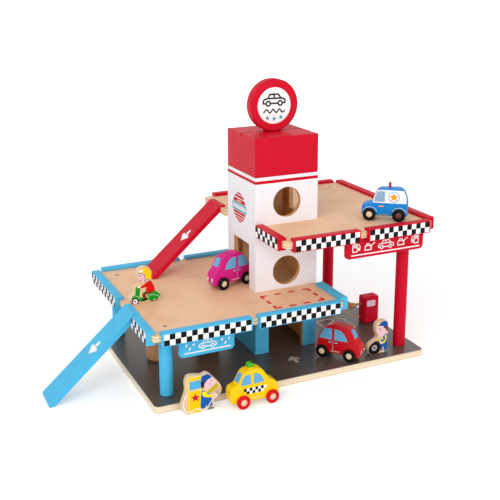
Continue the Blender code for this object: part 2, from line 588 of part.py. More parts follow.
bodies = {name: car(name, *facts) for name, facts in CARS.items()}
beacon = rod(BEACON_R, VAN_ROOF - 5, VAN_ROOF + BEACON_H, 16)
bmesh.ops.translate(beacon, vec=(BEACON_X, 0, 0), verts=beacon.verts)
combine(bodies["police_van"], beacon, "UNION")
lamp_w, lamp_l, lamp_h = TAXI_LAMP
lamp_x0, lamp_x1, lamp_top = TAXI_LAMP_X - lamp_l / 2, TAXI_LAMP_X + lamp_l / 2, TAXI_ROOF + lamp_h
combine(bodies["taxi"], prism(rounded([(lamp_x0, TAXI_ROOF - 5, 0), (lamp_x1, TAXI_ROOF - 5, 0),
                                       (lamp_x1, lamp_top, 3), (lamp_x0, lamp_top, 3)]),
                              "XZ", -lamp_w / 2, lamp_w), "UNION")


# Flat figures: outlines (across, up) of the front face, smooth over the top and flat at the foot

ATTENDANT = [(4, 0), (-2, 6), (-4.2, 16), (2.4, 34), (2, 46), (4, 55), (10, 58.7), (26.5, 55.8), (32, 57.5),
             (37.5, 56.5), (45.3, 48.5), (53, 39.5), (57.4, 30), (55.5, 22.5), (49.5, 16.5), (45.2, 11.5),
             (44.7, 0)]
MECHANIC = [(4, 0), (-2, 5), (-3, 12), (1, 19), (7, 22.5), (13, 25.5), (15, 30.5), (12.2, 37), (11, 46),
            (14, 53), (21, 56), (29, 55.3), (33.8, 50.5), (34.4, 38), (34.4, 18), (34.3, 0)]
SCOOTER = [(0, 0), (-5, 2.5), (-6.4, 9), (-2, 14.5), (0.4, 20), (0.2, 26), (4, 28.8), (9.5, 30.5), (7, 38),
           (6.4, 47), (9.5, 55.2), (16.5, 57.6), (25, 55), (29.2, 47.5), (28.3, 37), (32.5, 28), (34.4, 18),
           (40, 14.2), (43.6, 8.2), (40, 3), (34, 0)]
MECHANIC_FROM_RIGHT = 94.0                      # of the base board, to the left end of the mechanic's foot
FIGURES = {
    # name: outline, left end of the foot, front face, floor
    "attendant": (ATTENDANT, (37.0, -19.0), 0.0),
    "mechanic": (MECHANIC, (BASE_W - MECHANIC_FROM_RIGHT, 17.0), BASE_T),
    "scooter_rider": (SCOOTER, (15.0, 131.6), LOWER_TOP),
}
for name, (points, (x, y), floor) in FIGURES.items():
    ease(piece(name, prism(smooth_curve(points, per_span=3), "XZ", 0, FIGURE_T), FIGURE_WOOD,
               (x, y, floor + TOUCH)), FIGURE_EASE, 1)
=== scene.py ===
"""Looks of a wooden toy garage with two parking decks, a lift tower, ramps, four cars and three flat figures.

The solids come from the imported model. This script paints them, lays the screen-printed checks, windows and
pictures on them, and adds the small things: wheels with their pegs, screw heads and the pump's string hose.
Sizes are millimetres from the base board's front left bottom corner, as in the part's source: X to the
right, Y to the rear and Z up.
"""
from math import atan2, ceil, cos, pi, radians, sin

import bmesh
import bpy
from mathutils import Matrix, Vector
from mathutils.bvhtree import BVHTree
from mathutils.geometry import delaunay_2d_cdt


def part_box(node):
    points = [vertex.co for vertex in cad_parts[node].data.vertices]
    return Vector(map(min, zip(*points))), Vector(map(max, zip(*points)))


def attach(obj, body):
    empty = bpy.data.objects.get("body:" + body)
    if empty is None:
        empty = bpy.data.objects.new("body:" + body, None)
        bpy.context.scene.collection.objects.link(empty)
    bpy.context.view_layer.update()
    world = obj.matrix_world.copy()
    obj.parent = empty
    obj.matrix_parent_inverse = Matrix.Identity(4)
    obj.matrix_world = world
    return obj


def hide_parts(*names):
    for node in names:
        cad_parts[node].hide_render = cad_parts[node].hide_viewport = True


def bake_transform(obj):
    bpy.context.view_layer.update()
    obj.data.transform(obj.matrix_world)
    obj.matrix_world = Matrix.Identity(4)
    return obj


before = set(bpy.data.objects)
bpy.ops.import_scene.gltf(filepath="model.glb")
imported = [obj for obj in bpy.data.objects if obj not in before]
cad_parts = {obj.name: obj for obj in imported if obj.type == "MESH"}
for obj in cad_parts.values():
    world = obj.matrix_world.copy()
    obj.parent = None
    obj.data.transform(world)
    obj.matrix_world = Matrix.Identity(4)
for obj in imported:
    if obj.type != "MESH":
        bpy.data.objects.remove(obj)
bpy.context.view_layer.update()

MM = 0.001

# Sizes that the part's source also has
BASE_W, BASE_D, BASE_T = 460.0, 298.0, 11.0
LOWER_TOP, UPPER_TOP = 117.0, 225.5
LOOSE_GAP = 0.3                                 # under what stands loose, as in the solids
RAIL_MARGIN, SQUARE = 2.0, 8.33                 # at a rail's ends beside its checks, and one square of them
TOWER_X0, TOWER_X1, TOWER_Y0, TOWER_Y1 = 202.0, 311.0, 97.0, 203.0
SIGN_BOARD_Y = 10.3                             # front faces of the two hanging boards
PUMP_X, PUMP_Y = 426.0, 129.0                   # left and front faces of the fuel pump
NOZZLE_UP, NOZZLE_IN = 34.0, 12.0               # on the pump: its height, and depth from the front face
NOZZLE_REACH = 28.3                             # from the pump's left face to its free end
WHEEL_R, WHEEL_FACE, WHEEL_T, AXLE_R, WHEELBASE = 10.25, 14.45, 4.4, 2.5, 46.0
BODY_HALF = 9.75                                # of a car's width
TAXI_ROOF, VAN_ROOF = 58.7, UPPER_TOP + 53.6    # heights over which the roof lamp and the beacon stand
CARS = {
    # middle between the wheels, heading, floor
    "red_car": ((319.04, 35.75), (0.611, -0.792), BASE_T),
    "taxi": ((142.7, -25.95), (-1.0, 0.0), 0.0),
    "police_van": ((405.32, 48.12), (-0.795, 0.607), UPPER_TOP),
    "pink_car": ((181.9, 147.38), (-0.973, -0.231), LOWER_TOP),
}
FIGURES = {
    # left end of the foot, front face, underside
    "attendant": (37.0, -19.0, LOOSE_GAP),
    "mechanic": (366.0, 17.0, BASE_T + LOOSE_GAP),
    "scooter_rider": (15.0, 131.6, LOWER_TOP + LOOSE_GAP),
}
POST_TOPS = [(29.0, 33.0, LOWER_TOP), (29.0, 272.0, LOWER_TOP),
             (434.0, 34.5, UPPER_TOP), (435.0, 272.0, UPPER_TOP)]

X, Y, Z = Vector((1, 0, 0)), Vector((0, 1, 0)), Vector((0, 0, 1))
TO_ROW = Matrix.Scale(MM, 4) @ Matrix.Translation((-BASE_W / 2, -BASE_D / 2, 0))


def row(x, y, z):
    """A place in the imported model's own frame, in metres."""
    return TO_ROW @ Vector((x, y, z))


# Camera: stands left of the front, higher than the round sign, and looks down on the decks

LENS, SHIFT_X, SHIFT_Y = 62.58, -0.0146, -0.114
CAMERA_YAW, CAMERA_PITCH = radians(25.41), radians(14.31)
CAMERA_PLACE = (-347.5, -1066.5, 607.8)

camera_data = bpy.data.cameras.new("camera")
camera_data.lens, camera_data.sensor_width = LENS, 36.0
camera_data.shift_x, camera_data.shift_y = SHIFT_X, SHIFT_Y
camera_data.clip_end = 50.0
camera = bpy.data.objects.new("camera", camera_data)
camera.location = row(*CAMERA_PLACE)
camera.rotation_euler = (pi / 2 - CAMERA_PITCH, 0.0, -CAMERA_YAW)
bpy.context.scene.collection.objects.link(camera)
bpy.context.scene.camera = camera


# Tools that make and place pieces

def place_piece(name, bm, materials, body=None, place=Matrix(), sharp=35):
    """Makes an object of a bmesh in corner millimetres, which rides on a body if one is named."""
    bm.transform(TO_ROW @ place)
    mesh = bpy.data.meshes.new(name)
    bm.to_mesh(mesh)
    bm.free()
    mesh.shade_smooth()
    mesh.set_sharp_from_angle(angle=radians(sharp))
    for material in materials:
        mesh.materials.append(material)
    obj = bpy.data.objects.new(name, mesh)
    bpy.context.scene.collection.objects.link(obj)
    if body:
        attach(obj, body)
    return obj


def turned(profile, steps, sections=()):
    """A bmesh of a profile (radius, height) turned round Z; sections are its spans' material numbers."""
    bm = bmesh.new()
    rings = []
    for radius, height in profile:
        if radius < 0.001:
            rings.append([bm.verts.new((0, 0, height))] * steps)
        else:
            rings.append([bm.verts.new((u, v, height)) for u, v in disc(0, 0, radius, steps=steps)])
    for span, (low, high) in enumerate(zip(rings, rings[1:])):
        for k in range(steps):
            corners = dict.fromkeys((low[k], low[(k + 1) % steps], high[(k + 1) % steps], high[k]))
            face = bm.faces.new(list(corners))
            face.material_index = sections[span] if sections else 0
    bmesh.ops.recalc_face_normals(bm, faces=bm.faces)
    return bm


def soft(corners, radius, steps=4):
    """An outline with its corners rounded."""
    outline = []
    for i, corner in enumerate(corners):
        corner = Vector(corner)
        before, after = Vector(corners[i - 1]) - corner, Vector(corners[(i + 1) % len(corners)]) - corner
        start = corner + before * min(radius / before.length, 0.48)
        end = corner + after * min(radius / after.length, 0.48)
        for k in range(steps + 1):
            t = k / steps
            outline.append(tuple(start * (1 - t) ** 2 + corner * 2 * t * (1 - t) + end * t ** 2))
    return outline


def bar(u0, v0, u1, v1):
    """The outline of a rectangle between two corners."""
    return [(u0, v0), (u1, v0), (u1, v1), (u0, v1)]


def disc(u, v, radius, tall=None, steps=32):
    """The outline of a circle, or of an ellipse that is this tall from its middle."""
    tall = radius if tall is None else tall
    return [(u + radius * cos(2 * pi * k / steps), v + tall * sin(2 * pi * k / steps)) for k in range(steps)]


def star(u, v, radius, inner=0.42):
    """The outline of a five-pointed star; inner is the share of its radius that the notches reach."""
    outline = []
    for k in range(10):
        reach = radius if k % 2 == 0 else radius * inner
        angle = radians(90 + 36 * k)
        outline.append((u + reach * cos(angle), v + reach * sin(angle)))
    return outline


def line(points, width):
    """The outline of a line of even width along the points."""
    points = [Vector(p) for p in points]
    left, right = [], []
    for i, point in enumerate(points):
        ahead = points[min(i + 1, len(points) - 1)] - points[max(i - 1, 0)]
        side = Vector((-ahead.y, ahead.x)).normalized() * (width / 2)
        left.append(tuple(point + side))
        right.append(tuple(point - side))
    return left + right[::-1]


def arc(u, v, radius, width, start, end, steps=20, tall=None):
    """The outline of a curved line round a centre, from one angle to another."""
    tall = radius if tall is None else tall
    angles = [radians(start + (end - start) * k / steps) for k in range(steps + 1)]
    return line([(u + radius * cos(a), v + tall * sin(a)) for a in angles], width)


def smooth_curve(points, per_span=5, closed=False):
    """Points along a Catmull-Rom curve through the given ones."""
    points = [Vector(p) for p in points]
    count = len(points)
    curve = []
    for i in range(count if closed else count - 1):
        nearby = range(i - 1, i + 3)
        a, b, c, d = (points[k % count if closed else min(max(k, 0), count - 1)] for k in nearby)
        for k in range(per_span):
            t = k / per_span
            curve.append(0.5 * (2 * b + (c - a) * t + (2 * a - 5 * b + 4 * c - d) * t ** 2
                                + (3 * b - a - 3 * c + d) * t ** 3))
    return curve if closed else curve + [points[-1]]


def blob(*points):
    """A rounded outline through the points."""
    return smooth_curve(points, closed=True)


def inset(outline, depth):
    """An outline drawn in by this depth; its points run clockwise."""
    count = len(outline)
    drawn_in = []
    for i, point in enumerate(outline):
        ahead = (Vector(outline[(i + 1) % count]) - Vector(outline[i - 1])).normalized()
        drawn_in.append(Vector(point) + Vector((ahead.y, -ahead.x)) * depth)
    return drawn_in


def strokes(lines, width):
    """Pen lines of even width with round ends and joints, as outlines that overlap."""
    outlines = []
    for points in lines:
        points = [Vector(p) for p in points]
        outlines += [disc(p.x, p.y, width / 2, steps=12) for p in points]
        outlines += [line([a, b], width) for a, b in zip(points, points[1:])]
    return outlines


# Each face is (a place on it, the direction to its right as seen from outside, its upward direction)
def front(y):
    return Vector((0, y, 0)), X, Z


def rear(y):
    return Vector((0, y, 0)), -X, Z


def left(x):
    return Vector((x, 0, 0)), -Y, Z


def right(x):
    return Vector((x, 0, 0)), Y, Z


def top(z):
    return Vector((0, 0, z)), X, Y


def leftward(outline):
    """The outline's points in the order that keeps its inside on the left."""
    points = [Vector(p) for p in outline]
    turn = sum(a.x * b.y - b.x * a.y for a, b in zip(points, points[1:] + points[:1]))
    return points if turn > 0 else points[::-1]


FILM, FILM_STEP = 0.05, 0.015       # height of the first ink over the surface, and of each later one over it
PRESS_FILM, PRESS_CELL = 0.1, 1.0   # first height of a print pressed onto a rounded surface, and its cells
PRESS_REACH = 30.0                  # how far out the pressed print starts
SAME_PLACE = 1e-4                   # within this, the points of outlines are one


def picture(name, body, face, shapes, over=None, within=None, step=FILM_STEP):
    """Prints shapes (ink, outline or list of outlines) on a face, each a hair above the one before.

    over presses them onto a node's surface; within cuts them off at an outline."""
    corner, across, up = face
    outward = across.cross(up)
    bm = bmesh.new()
    inks = []
    for order, (ink, drawn) in enumerate(shapes):
        if ink not in inks:
            inks.append(ink)
        height = (PRESS_FILM if over else FILM) + step * order
        outlines = drawn if hasattr(drawn[0][0], "__len__") else [drawn]
        if len(outlines) > 1 or within:
            points, numbers = [], []
            for outline in outlines + ([within] if within else []):
                numbers.append(list(range(len(points), len(points) + len(outline))))
                points += leftward(outline)
            points, _, pieces, _, _, owners = delaunay_2d_cdt(points, [], numbers, 1, SAME_PLACE)
            edge = len(outlines)
            pieces = [piece for piece, owner in zip(pieces, owners)
                      if any(k < edge for k in owner) and (edge in owner or not within)]
        else:
            points, pieces = [Vector(p) for p in outlines[0]], [list(range(len(outlines[0])))]
        corners = [bm.verts.new(corner + across * p.x + up * p.y + outward * height) for p in points]
        for piece in pieces:
            patch = bm.faces.new([corners[k] for k in piece])
            patch.material_index = inks.index(ink)
            patch.normal_update()
            if patch.normal.dot(outward) < 0:
                patch.normal_flip()
    bmesh.ops.delete(bm, geom=[v for v in bm.verts if not v.link_faces], context="VERTS")
    if over:
        for direction in (across, up):
            reach = [(v.co - corner).dot(direction) for v in bm.verts]
            for k in range(ceil(min(reach) / PRESS_CELL), ceil(max(reach) / PRESS_CELL)):
                bmesh.ops.bisect_plane(bm, geom=bm.verts[:] + bm.edges[:] + bm.faces[:], dist=0.001,
                                       plane_co=corner + direction * (k * PRESS_CELL), plane_no=direction)
        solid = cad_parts[over].data
        tree = BVHTree.FromPolygons([v.co for v in solid.vertices], [p.vertices for p in solid.polygons])
        for v in bm.verts:
            height = (v.co - corner).dot(outward)
            flat = v.co - outward * height
            hit, normal, _, _ = tree.ray_cast(TO_ROW @ (flat + outward * PRESS_REACH), -outward)
            if hit:
                v.co = TO_ROW.inverted() @ hit + normal * height
    return place_piece(name, bm, [INKS[ink] for ink in inks], body)


# Materials

def srgb(colour):
    """A hex colour as linear light."""
    channels = [int(colour[i:i + 2], 16) / 255 for i in (1, 3, 5)]
    return (*(c / 12.92 if c <= 0.04045 else ((c + 0.055) / 1.055) ** 2.4 for c in channels), 1.0)


def add(tree, kind, inputs=(), out=None, **settings):
    """Adds a node with its settings, values and links; gives its first output, or the one that out names.

    inputs are named in a dict, or listed in the order of the sockets that the settings leave in use."""
    node = tree.nodes.new("ShaderNode" + kind)
    for key, value in settings.items():
        setattr(node, key, value)
    if isinstance(inputs, dict):
        pairs = [(node.inputs[key], value) for key, value in inputs.items()]
    else:
        pairs = zip([socket for socket in node.inputs if socket.enabled], inputs)
    for socket, value in pairs:
        if isinstance(value, bpy.types.NodeSocket):
            tree.links.new(value, socket)
        else:
            socket.default_value = value
    return node.outputs[out] if out else next(socket for socket in node.outputs if socket.enabled)


def begin(name, roughness, coat=0.0, coat_roughness=0.1, metallic=0.0, specular=0.5):
    """A new material with its uniform values on the shader's own sockets; also its nodes and place in mm."""
    material = bpy.data.materials.new(name)
    material.use_nodes = True
    tree = material.node_tree
    shader = tree.nodes["Principled BSDF"]
    for socket, value in (("Roughness", roughness), ("Coat Weight", coat), ("Coat Roughness", coat_roughness),
                          ("Metallic", metallic), ("Specular IOR Level", specular)):
        shader.inputs[socket].default_value = value
    place = add(tree, "VectorMath", [add(tree, "TexCoord", out="Object"), 1 / MM], operation="SCALE")
    return material, tree, place


def finish(material, colour, normal=None, roughness=None):
    """Links a material's patterns to its shader."""
    tree = material.node_tree
    shader = tree.nodes["Principled BSDF"]
    for socket, source in (("Base Color", colour), ("Normal", normal), ("Roughness", roughness)):
        if source:
            tree.links.new(source, shader.inputs[socket])
    return material


def streaks(tree, place, along, across, thick, detail=4.0):
    """Streaks such as wood's figure, fibres or scratches: noise this long, in mm, along X, Y and Z."""
    drawn = add(tree, "Mapping", {"Vector": place, "Scale": (1 / along, 1 / across, 1 / thick)})
    return add(tree, "TexNoise", {"Vector": drawn, "Scale": 1.0, "Detail": detail, "Roughness": 0.6})


def shades(tree, pattern, low, high, first, second, most=1.0):
    """From one colour (hex or a socket) to most of another, while a pattern runs from low to high."""
    share = add(tree, "MapRange", [pattern, low, high, 0.0, most])
    ends = [srgb(colour) if isinstance(colour, str) else colour for colour in (first, second)]
    return add(tree, "Mix", [share, *ends], data_type="RGBA")


def sanded(tree, figure, depth, ease):
    """The wood's figure as relief this deep, on edges that sanding has rounded by ease, in millimetres."""
    rounded = add(tree, "Bevel", {"Radius": ease * MM}, samples=4)
    return add(tree, "Bump", {"Height": figure, "Distance": depth * MM, "Strength": 0.5, "Normal": rounded})


PLY_LAYER = 2.4                         # of one veneer; wider than the real 1.4, so that it shows
GRAIN_LONG, GRAIN_WIDE = 70.0, 1.8      # of a streak in the face veneer; wider than birch's, so that it shows
VENEER_CLOUD = 45.0                     # of a warmer patch in the face veneer
PAINT_DEPTH = 0.25                      # of the tower's paint, so that only its outer faces take it
TOOL_MARK = 0.9                         # from ring to ring where a lathe tool has passed


def veneer(tree, place, light, middle, dark, grain="X"):
    """The face of birch ply: pale wood with faint long streaks under warm clouds; also the streaks alone."""
    fine = streaks(tree, place, *[GRAIN_LONG if axis == grain else GRAIN_WIDE for axis in "XYZ"])
    clouds = add(tree, "TexNoise", {"Vector": place, "Scale": 1 / VENEER_CLOUD, "Detail": 2.0})
    return shades(tree, clouds, 0.45, 0.75, shades(tree, fine, 0.35, 0.7, light, middle), dark), fine


def layers(tree, place, stack, light, dark):
    """The edge of ply: stripes of long grain and end grain, one for each veneer."""
    bands = add(tree, "TexWave", {"Vector": place, "Scale": pi / (20 * PLY_LAYER), "Distortion": 0.25,
                                  "Detail": 2.0, "Detail Scale": 1.5}, out="Fac", bands_direction=stack)
    return shades(tree, bands, 0.35, 0.65, light, dark)


def birch_ply(name, stack="Z", grain="X", light="#F4C9A2", middle="#F1C49D", dark="#ECBB93"):
    """Birch plywood under clear matt lacquer: faces across the stack are faintly streaked, edges striped."""
    material, tree, place = begin(name, 0.5, specular=0.3)
    face, fine = veneer(tree, place, light, middle, dark, grain)
    edge = layers(tree, place, stack, "#F3DEBB", "#E0BC8E")
    outward = add(tree, "SeparateXYZ", [add(tree, "TexCoord", out="Normal")], out=stack)
    across = add(tree, "Math", [outward], operation="ABSOLUTE")
    return finish(material, shades(tree, across, 0.6, 0.8, edge, face), sanded(tree, fine, 0.05, 0.6),
                  add(tree, "MapRange", [fine, 0.3, 0.7, 0.46, 0.58]))


def toy_paint(name, colour, worn, roughness=0.42, coat=0.0, tip=None):
    """Two coats of sprayed acrylic on wood: even colour, faint orange peel, and edges rubbed a little paler.

    tip is (height, colour) where what stands higher is dipped in another paint."""
    material, tree, place = begin(name, roughness, coat=coat, coat_roughness=0.15, specular=0.12)
    clouds = add(tree, "TexNoise", {"Vector": place, "Scale": 1 / 22.0, "Detail": 2.0})
    raised = streaks(tree, place, 26.0, 1.6, 1.6)
    paint = srgb(colour)
    if tip:
        height, tip_colour = tip
        above = add(tree, "SeparateXYZ", [place], out="Z")
        paint = shades(tree, above, height - 0.15, height + 0.15, colour, tip_colour)
    value = add(tree, "MapRange", [clouds, 0.3, 0.7, 0.96, 1.03])
    sprayed = add(tree, "HueSaturation", {"Color": paint, "Value": value})
    rounded = add(tree, "Bevel", {"Radius": 0.7 * MM}, samples=4)
    flat = add(tree, "VectorMath", [rounded, add(tree, "NewGeometry", out="Normal")], operation="DOT_PRODUCT")
    rubbed = add(tree, "Math", [add(tree, "MapRange", [flat, 0.97, 0.8]),
                                add(tree, "MapRange", [raised, 0.45, 0.7, 0.15, 0.6])], operation="MULTIPLY")
    peel = add(tree, "TexNoise", {"Vector": place, "Scale": 1 / 1.2, "Detail": 1.0})
    orange = add(tree, "Bump", {"Height": peel, "Distance": 0.03 * MM, "Strength": 0.35, "Normal": rounded})
    skin = add(tree, "Bump", {"Height": raised, "Distance": 0.04 * MM, "Strength": 0.4, "Normal": orange})
    return finish(material, add(tree, "Mix", [rubbed, sprayed, srgb(worn)], data_type="RGBA"), skin,
                  add(tree, "MapRange", [clouds, 0.3, 0.7, roughness - 0.04, roughness + 0.06]))


def painted_skin(name, colour):
    """Ply that is painted only on the tower's outer skin; its doorways, windows and inside stay bare."""
    material, tree, place = begin(name, 0.48, specular=0.3)
    # The bare wood's colours are more orange and saturated than the deck's ply: a painted glow standing in
    # for light that bounces inside the tower.
    bare, fine = veneer(tree, place, "#F5C68C", "#E8B276", "#D89C5E", "Z")
    clouds = add(tree, "TexNoise", {"Vector": place, "Scale": 1 / 30.0, "Detail": 2.0})
    value = add(tree, "MapRange", [clouds, 0.3, 0.7, 0.975, 1.01])
    paint = add(tree, "HueSaturation", {"Color": srgb(colour), "Value": value})
    past = []
    for axis, low, high, board in (("X", TOWER_X0, TOWER_X1, BASE_W), ("Y", TOWER_Y0, TOWER_Y1, BASE_D)):
        along = add(tree, "SeparateXYZ", [place], out=axis)
        from_middle = add(tree, "Math", [along, (low + high - board) / 2], operation="SUBTRACT")
        outward = add(tree, "Math", [from_middle], operation="ABSOLUTE")
        past.append(add(tree, "Math", [outward, (high - low) / 2 - PAINT_DEPTH], operation="GREATER_THAN"))
    skin = add(tree, "Math", past, operation="MAXIMUM")
    return finish(material, add(tree, "Mix", [skin, bare, paint], data_type="RGBA"),
                  sanded(tree, fine, 0.05, 0.6))


def printed_base_board():
    """Ply with a dark screen print under satin varnish: grey-brown that mirrors softly, with bare edges."""
    material, tree, place = begin("satin_printed_ply", 0.38, coat=0.25, coat_roughness=0.22)
    clouds = add(tree, "TexNoise", {"Vector": place, "Scale": 1 / 60.0, "Detail": 2.0})
    specks = add(tree, "TexNoise", {"Vector": place, "Scale": 1 / 0.9, "Detail": 2.0})
    ink = shades(tree, clouds, 0.3, 0.7, "#4C413B", "#584C45")
    printed = shades(tree, specks, 0.55, 0.8, ink, "#776A64", most=0.25)
    edge = layers(tree, place, "Z", "#F9E9CE", "#EED7B2")
    upward = add(tree, "SeparateXYZ", [add(tree, "TexCoord", out="Normal")], out="Z")
    rounded = add(tree, "Bevel", {"Radius": 0.6 * MM}, samples=4)
    film = add(tree, "Bump", {"Height": specks, "Distance": 0.02 * MM, "Strength": 0.3, "Normal": rounded})
    return finish(material, shades(tree, upward, 0.6, 0.8, edge, printed), film,
                  add(tree, "MapRange", [clouds, 0.3, 0.7, 0.34, 0.44]))


def turned_beech(name, light, dark):
    """Beech turned on a lathe and waxed: upright streaks, short flecks and faint rings left by the tool."""
    material, tree, place = begin(name, 0.42, coat=0.15, coat_roughness=0.3)
    fine = streaks(tree, place, 1.4, 1.4, 45.0)
    flecks = streaks(tree, place, 0.7, 0.7, 4.0, detail=2.0)
    streaked = shades(tree, fine, 0.35, 0.68, light, dark)
    flecked = shades(tree, flecks, 0.62, 0.72, streaked, "#8A5530", most=0.5)
    tool = add(tree, "TexWave", {"Vector": place, "Scale": pi / (20 * TOOL_MARK), "Distortion": 1.5},
               out="Fac", bands_direction="Z")
    grain = add(tree, "Bump", {"Height": fine, "Distance": 0.05 * MM, "Strength": 0.5})
    rings = add(tree, "Bump", {"Height": tool, "Distance": 0.02 * MM, "Strength": 0.4, "Normal": grain})
    return finish(material, flecked, rings)


def beech_peg(name, light, dark):
    """End grain of a beech dowel: a disc with fine pores."""
    material, tree, place = begin(name, 0.45)
    pores = add(tree, "TexNoise", {"Vector": place, "Scale": 1 / 0.6, "Detail": 2.0})
    return finish(material, shades(tree, pores, 0.4, 0.7, light, dark),
                  add(tree, "Bump", {"Height": pores, "Distance": 0.04 * MM, "Strength": 0.5}))


def cotton_string():
    """Waxed cotton string of three strands: matt, warm, with short stray fibres."""
    material, tree, place = begin("waxed_cotton_string", 0.75)
    fibres = streaks(tree, place, 0.8, 0.25, 0.25, detail=3.0)
    return finish(material, shades(tree, fibres, 0.35, 0.7, "#E9C6AA", "#D2A283"),
                  add(tree, "Bump", {"Height": fibres, "Distance": 0.08 * MM, "Strength": 0.6}))


def zinc_screw():
    """Zinc-plated steel: bright, slightly yellow, with fine scratches from the driver."""
    material, tree, place = begin("zinc_plated_steel", 0.32, metallic=1.0)
    scratch = streaks(tree, place, 2.5, 0.15, 0.15, detail=2.0)
    plated = add(tree, "Mix", [scratch, srgb("#9E9484"), srgb("#7A7062")], data_type="RGBA")
    return finish(material, plated, roughness=add(tree, "MapRange", [scratch, 0.3, 0.7, 0.24, 0.42]))


def print_ink(name, colour):
    """Screen-print ink: an even film in which a few fine specks and the grain below still show."""
    material, tree, place = begin("screen_print_" + name, 0.5, specular=0.12)
    specks = add(tree, "TexNoise", {"Vector": place, "Scale": 1 / 0.5, "Detail": 2.0})
    below = streaks(tree, place, 30.0, 1.5, 1.5)
    value = add(tree, "Math", [add(tree, "MapRange", [specks, 0.3, 0.7, -0.03, 0.03]),
                               add(tree, "MapRange", [below, 0.3, 0.7, 0.97, 1.03])], operation="ADD")
    return finish(material, add(tree, "HueSaturation", {"Color": srgb(colour), "Value": value}),
                  add(tree, "Bump", {"Height": below, "Distance": 0.03 * MM, "Strength": 0.4}))


INK_COLOURS = {
    "black": "#0B0A0C", "white": "#FBFAFA", "cream": "#F2E3CC", "red": "#CF1030", "teal": "#3AA8B4",
    # tower, signs and boards
    "stripe_red": "#D0001C", "badge_grey": "#D5E0EA", "dash_red": "#D80A28", "mark_grey": "#B9B1AB",
    "mark_pink": "#D9C6C0", "pale_panel": "#EBDDE6", "panel_faint": "#D9C6D4",
    # cars
    "glass_blue": "#6CAFDA", "glass_grey": "#8DB4CE", "handle_blue": "#8FB8D8", "arc_white": "#CFE6F5",
    "sky_ring": "#6CBCE6", "amber": "#F5A30A", "olive": "#8A9448",
    # figures
    "skin": "#F4C8D0", "cheek": "#E88C9A", "lip": "#D8506A", "eye_grey": "#6F7C93", "eye_black": "#2B262C",
    "hair_brown": "#6A3320", "hair_black": "#2A1E22", "cap_blue": "#0E4FA8", "overall_blue": "#155FB0",
    "jacket_red": "#E01010", "mud_brown": "#7A3A1C", "shoe_grey": "#7A7F86", "lemon": "#F7E600",
    "mustard": "#C3B616", "yellow": "#FFD000", "pump_yellow": "#FFCC00", "window_blue": "#4FB4E8",
    "nozzle_grey": "#8F9CAF", "tyre_grey": "#A9A9AC", "hub_red": "#8E1A22", "wheel_blue": "#1460B4",
    "scooter_green": "#0E9A20", "trim_mint": "#BFE3C4",
}
INKS = {name: print_ink(name, colour) for name, colour in INK_COLOURS.items()}

BLUE_PAINT = toy_paint("blue_acrylic", "#50BFEC", "#98D7F2")
RED_PAINT = toy_paint("red_acrylic", "#D20528", "#E04E5E")
WALL_WHITE = painted_skin("white_acrylic_on_ply", "#F6F6FB")
WALL_BLUE = painted_skin("blue_acrylic_on_ply", "#50BDEC")
DECK_PLY = birch_ply("lacquered_birch_ply")
# The cab's ply is more orange and saturated than the deck's: a painted glow standing in for light that
# bounces inside the tower.
CAB_PLY = birch_ply("lacquered_birch_ply_upright", "Y", "Z", "#F2C892", "#E3B278", "#D29A5E")
FIGURE_PLY = birch_ply("figure_birch_ply", "Y", "Z", "#EFCFA6", "#E5BD8F", "#DBAC7C")
BASE_PRINT = printed_base_board()
ROLLER_BEECH = turned_beech("waxed_turned_beech", "#DDA577", "#BC8152")
NOZZLE_BEECH = turned_beech("dark_turned_beech", "#D09664", "#A86B3C")
PEG = beech_peg("beech_end_grain", "#F4DFC0", "#D2A877")
# Darker red-brown end grain, used only for the police van's rear pegs.
DARK_PEG = beech_peg("dark_red_end_grain", "#7A3A34", "#4A1A1C")
STRING = cotton_string()
SCREW = zinc_screw()
CAR_RED = toy_paint("gloss_red_acrylic", "#CE0A18", "#E2525A", 0.36, 0.2)
CAR_YELLOW = toy_paint("gloss_yellow_acrylic", "#FFD000", "#FFE36A", 0.36, 0.2, tip=(TAXI_ROOF, "#4DB512"))
CAR_BLUE = toy_paint("gloss_blue_acrylic", "#0685D6", "#50AEE4", 0.36, 0.2, tip=(VAN_ROOF, "#D0142A"))
CAR_PINK = toy_paint("gloss_pink_acrylic", "#D61886", "#E464AC", 0.36, 0.2)
TYRE_BLACK = toy_paint("satin_black_acrylic", "#0E0D0E", "#2E2C2E", 0.46)
TYRE_RED = toy_paint("satin_red_acrylic", "#D80A1C", "#E54A56")


def nodes_from(start):
    """The names of the nodes that start with this."""
    return [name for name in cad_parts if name.startswith(start)]


FINISHES = {
    BLUE_PAINT: ["blue_post_front", "blue_post_rear", "blue_ramp", "wash_sign"] + nodes_from("blue_rail"),
    RED_PAINT: ["red_post_front", "red_post_rear", "red_ramp", "fuel_sign", "tower_cap", "sign_disc",
                "pump_body"] + nodes_from("red_rail"),
    WALL_WHITE: nodes_from("tower_wall"),
    WALL_BLUE: nodes_from("garage_wall"),
    DECK_PLY: ["lower_deck", "upper_deck"],
    CAB_PLY: ["lift_cab"],
    FIGURE_PLY: ["attendant", "mechanic", "scooter_rider"],
    BASE_PRINT: ["base_board"],
    ROLLER_BEECH: ["wash_roller_left", "wash_roller_right"],
    NOZZLE_BEECH: ["pump_nozzle"],
    CAR_RED: ["red_car_body"],
    CAR_YELLOW: ["taxi_body"],
    CAR_BLUE: ["police_van_body"],
    CAR_PINK: ["pink_car_body"],
}
for material, nodes in FINISHES.items():
    for node in nodes:
        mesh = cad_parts[node].data
        mesh.materials.clear()
        mesh.materials.append(material)


# The pump's hose: string from low on the pump's left face to the free end of the nozzle

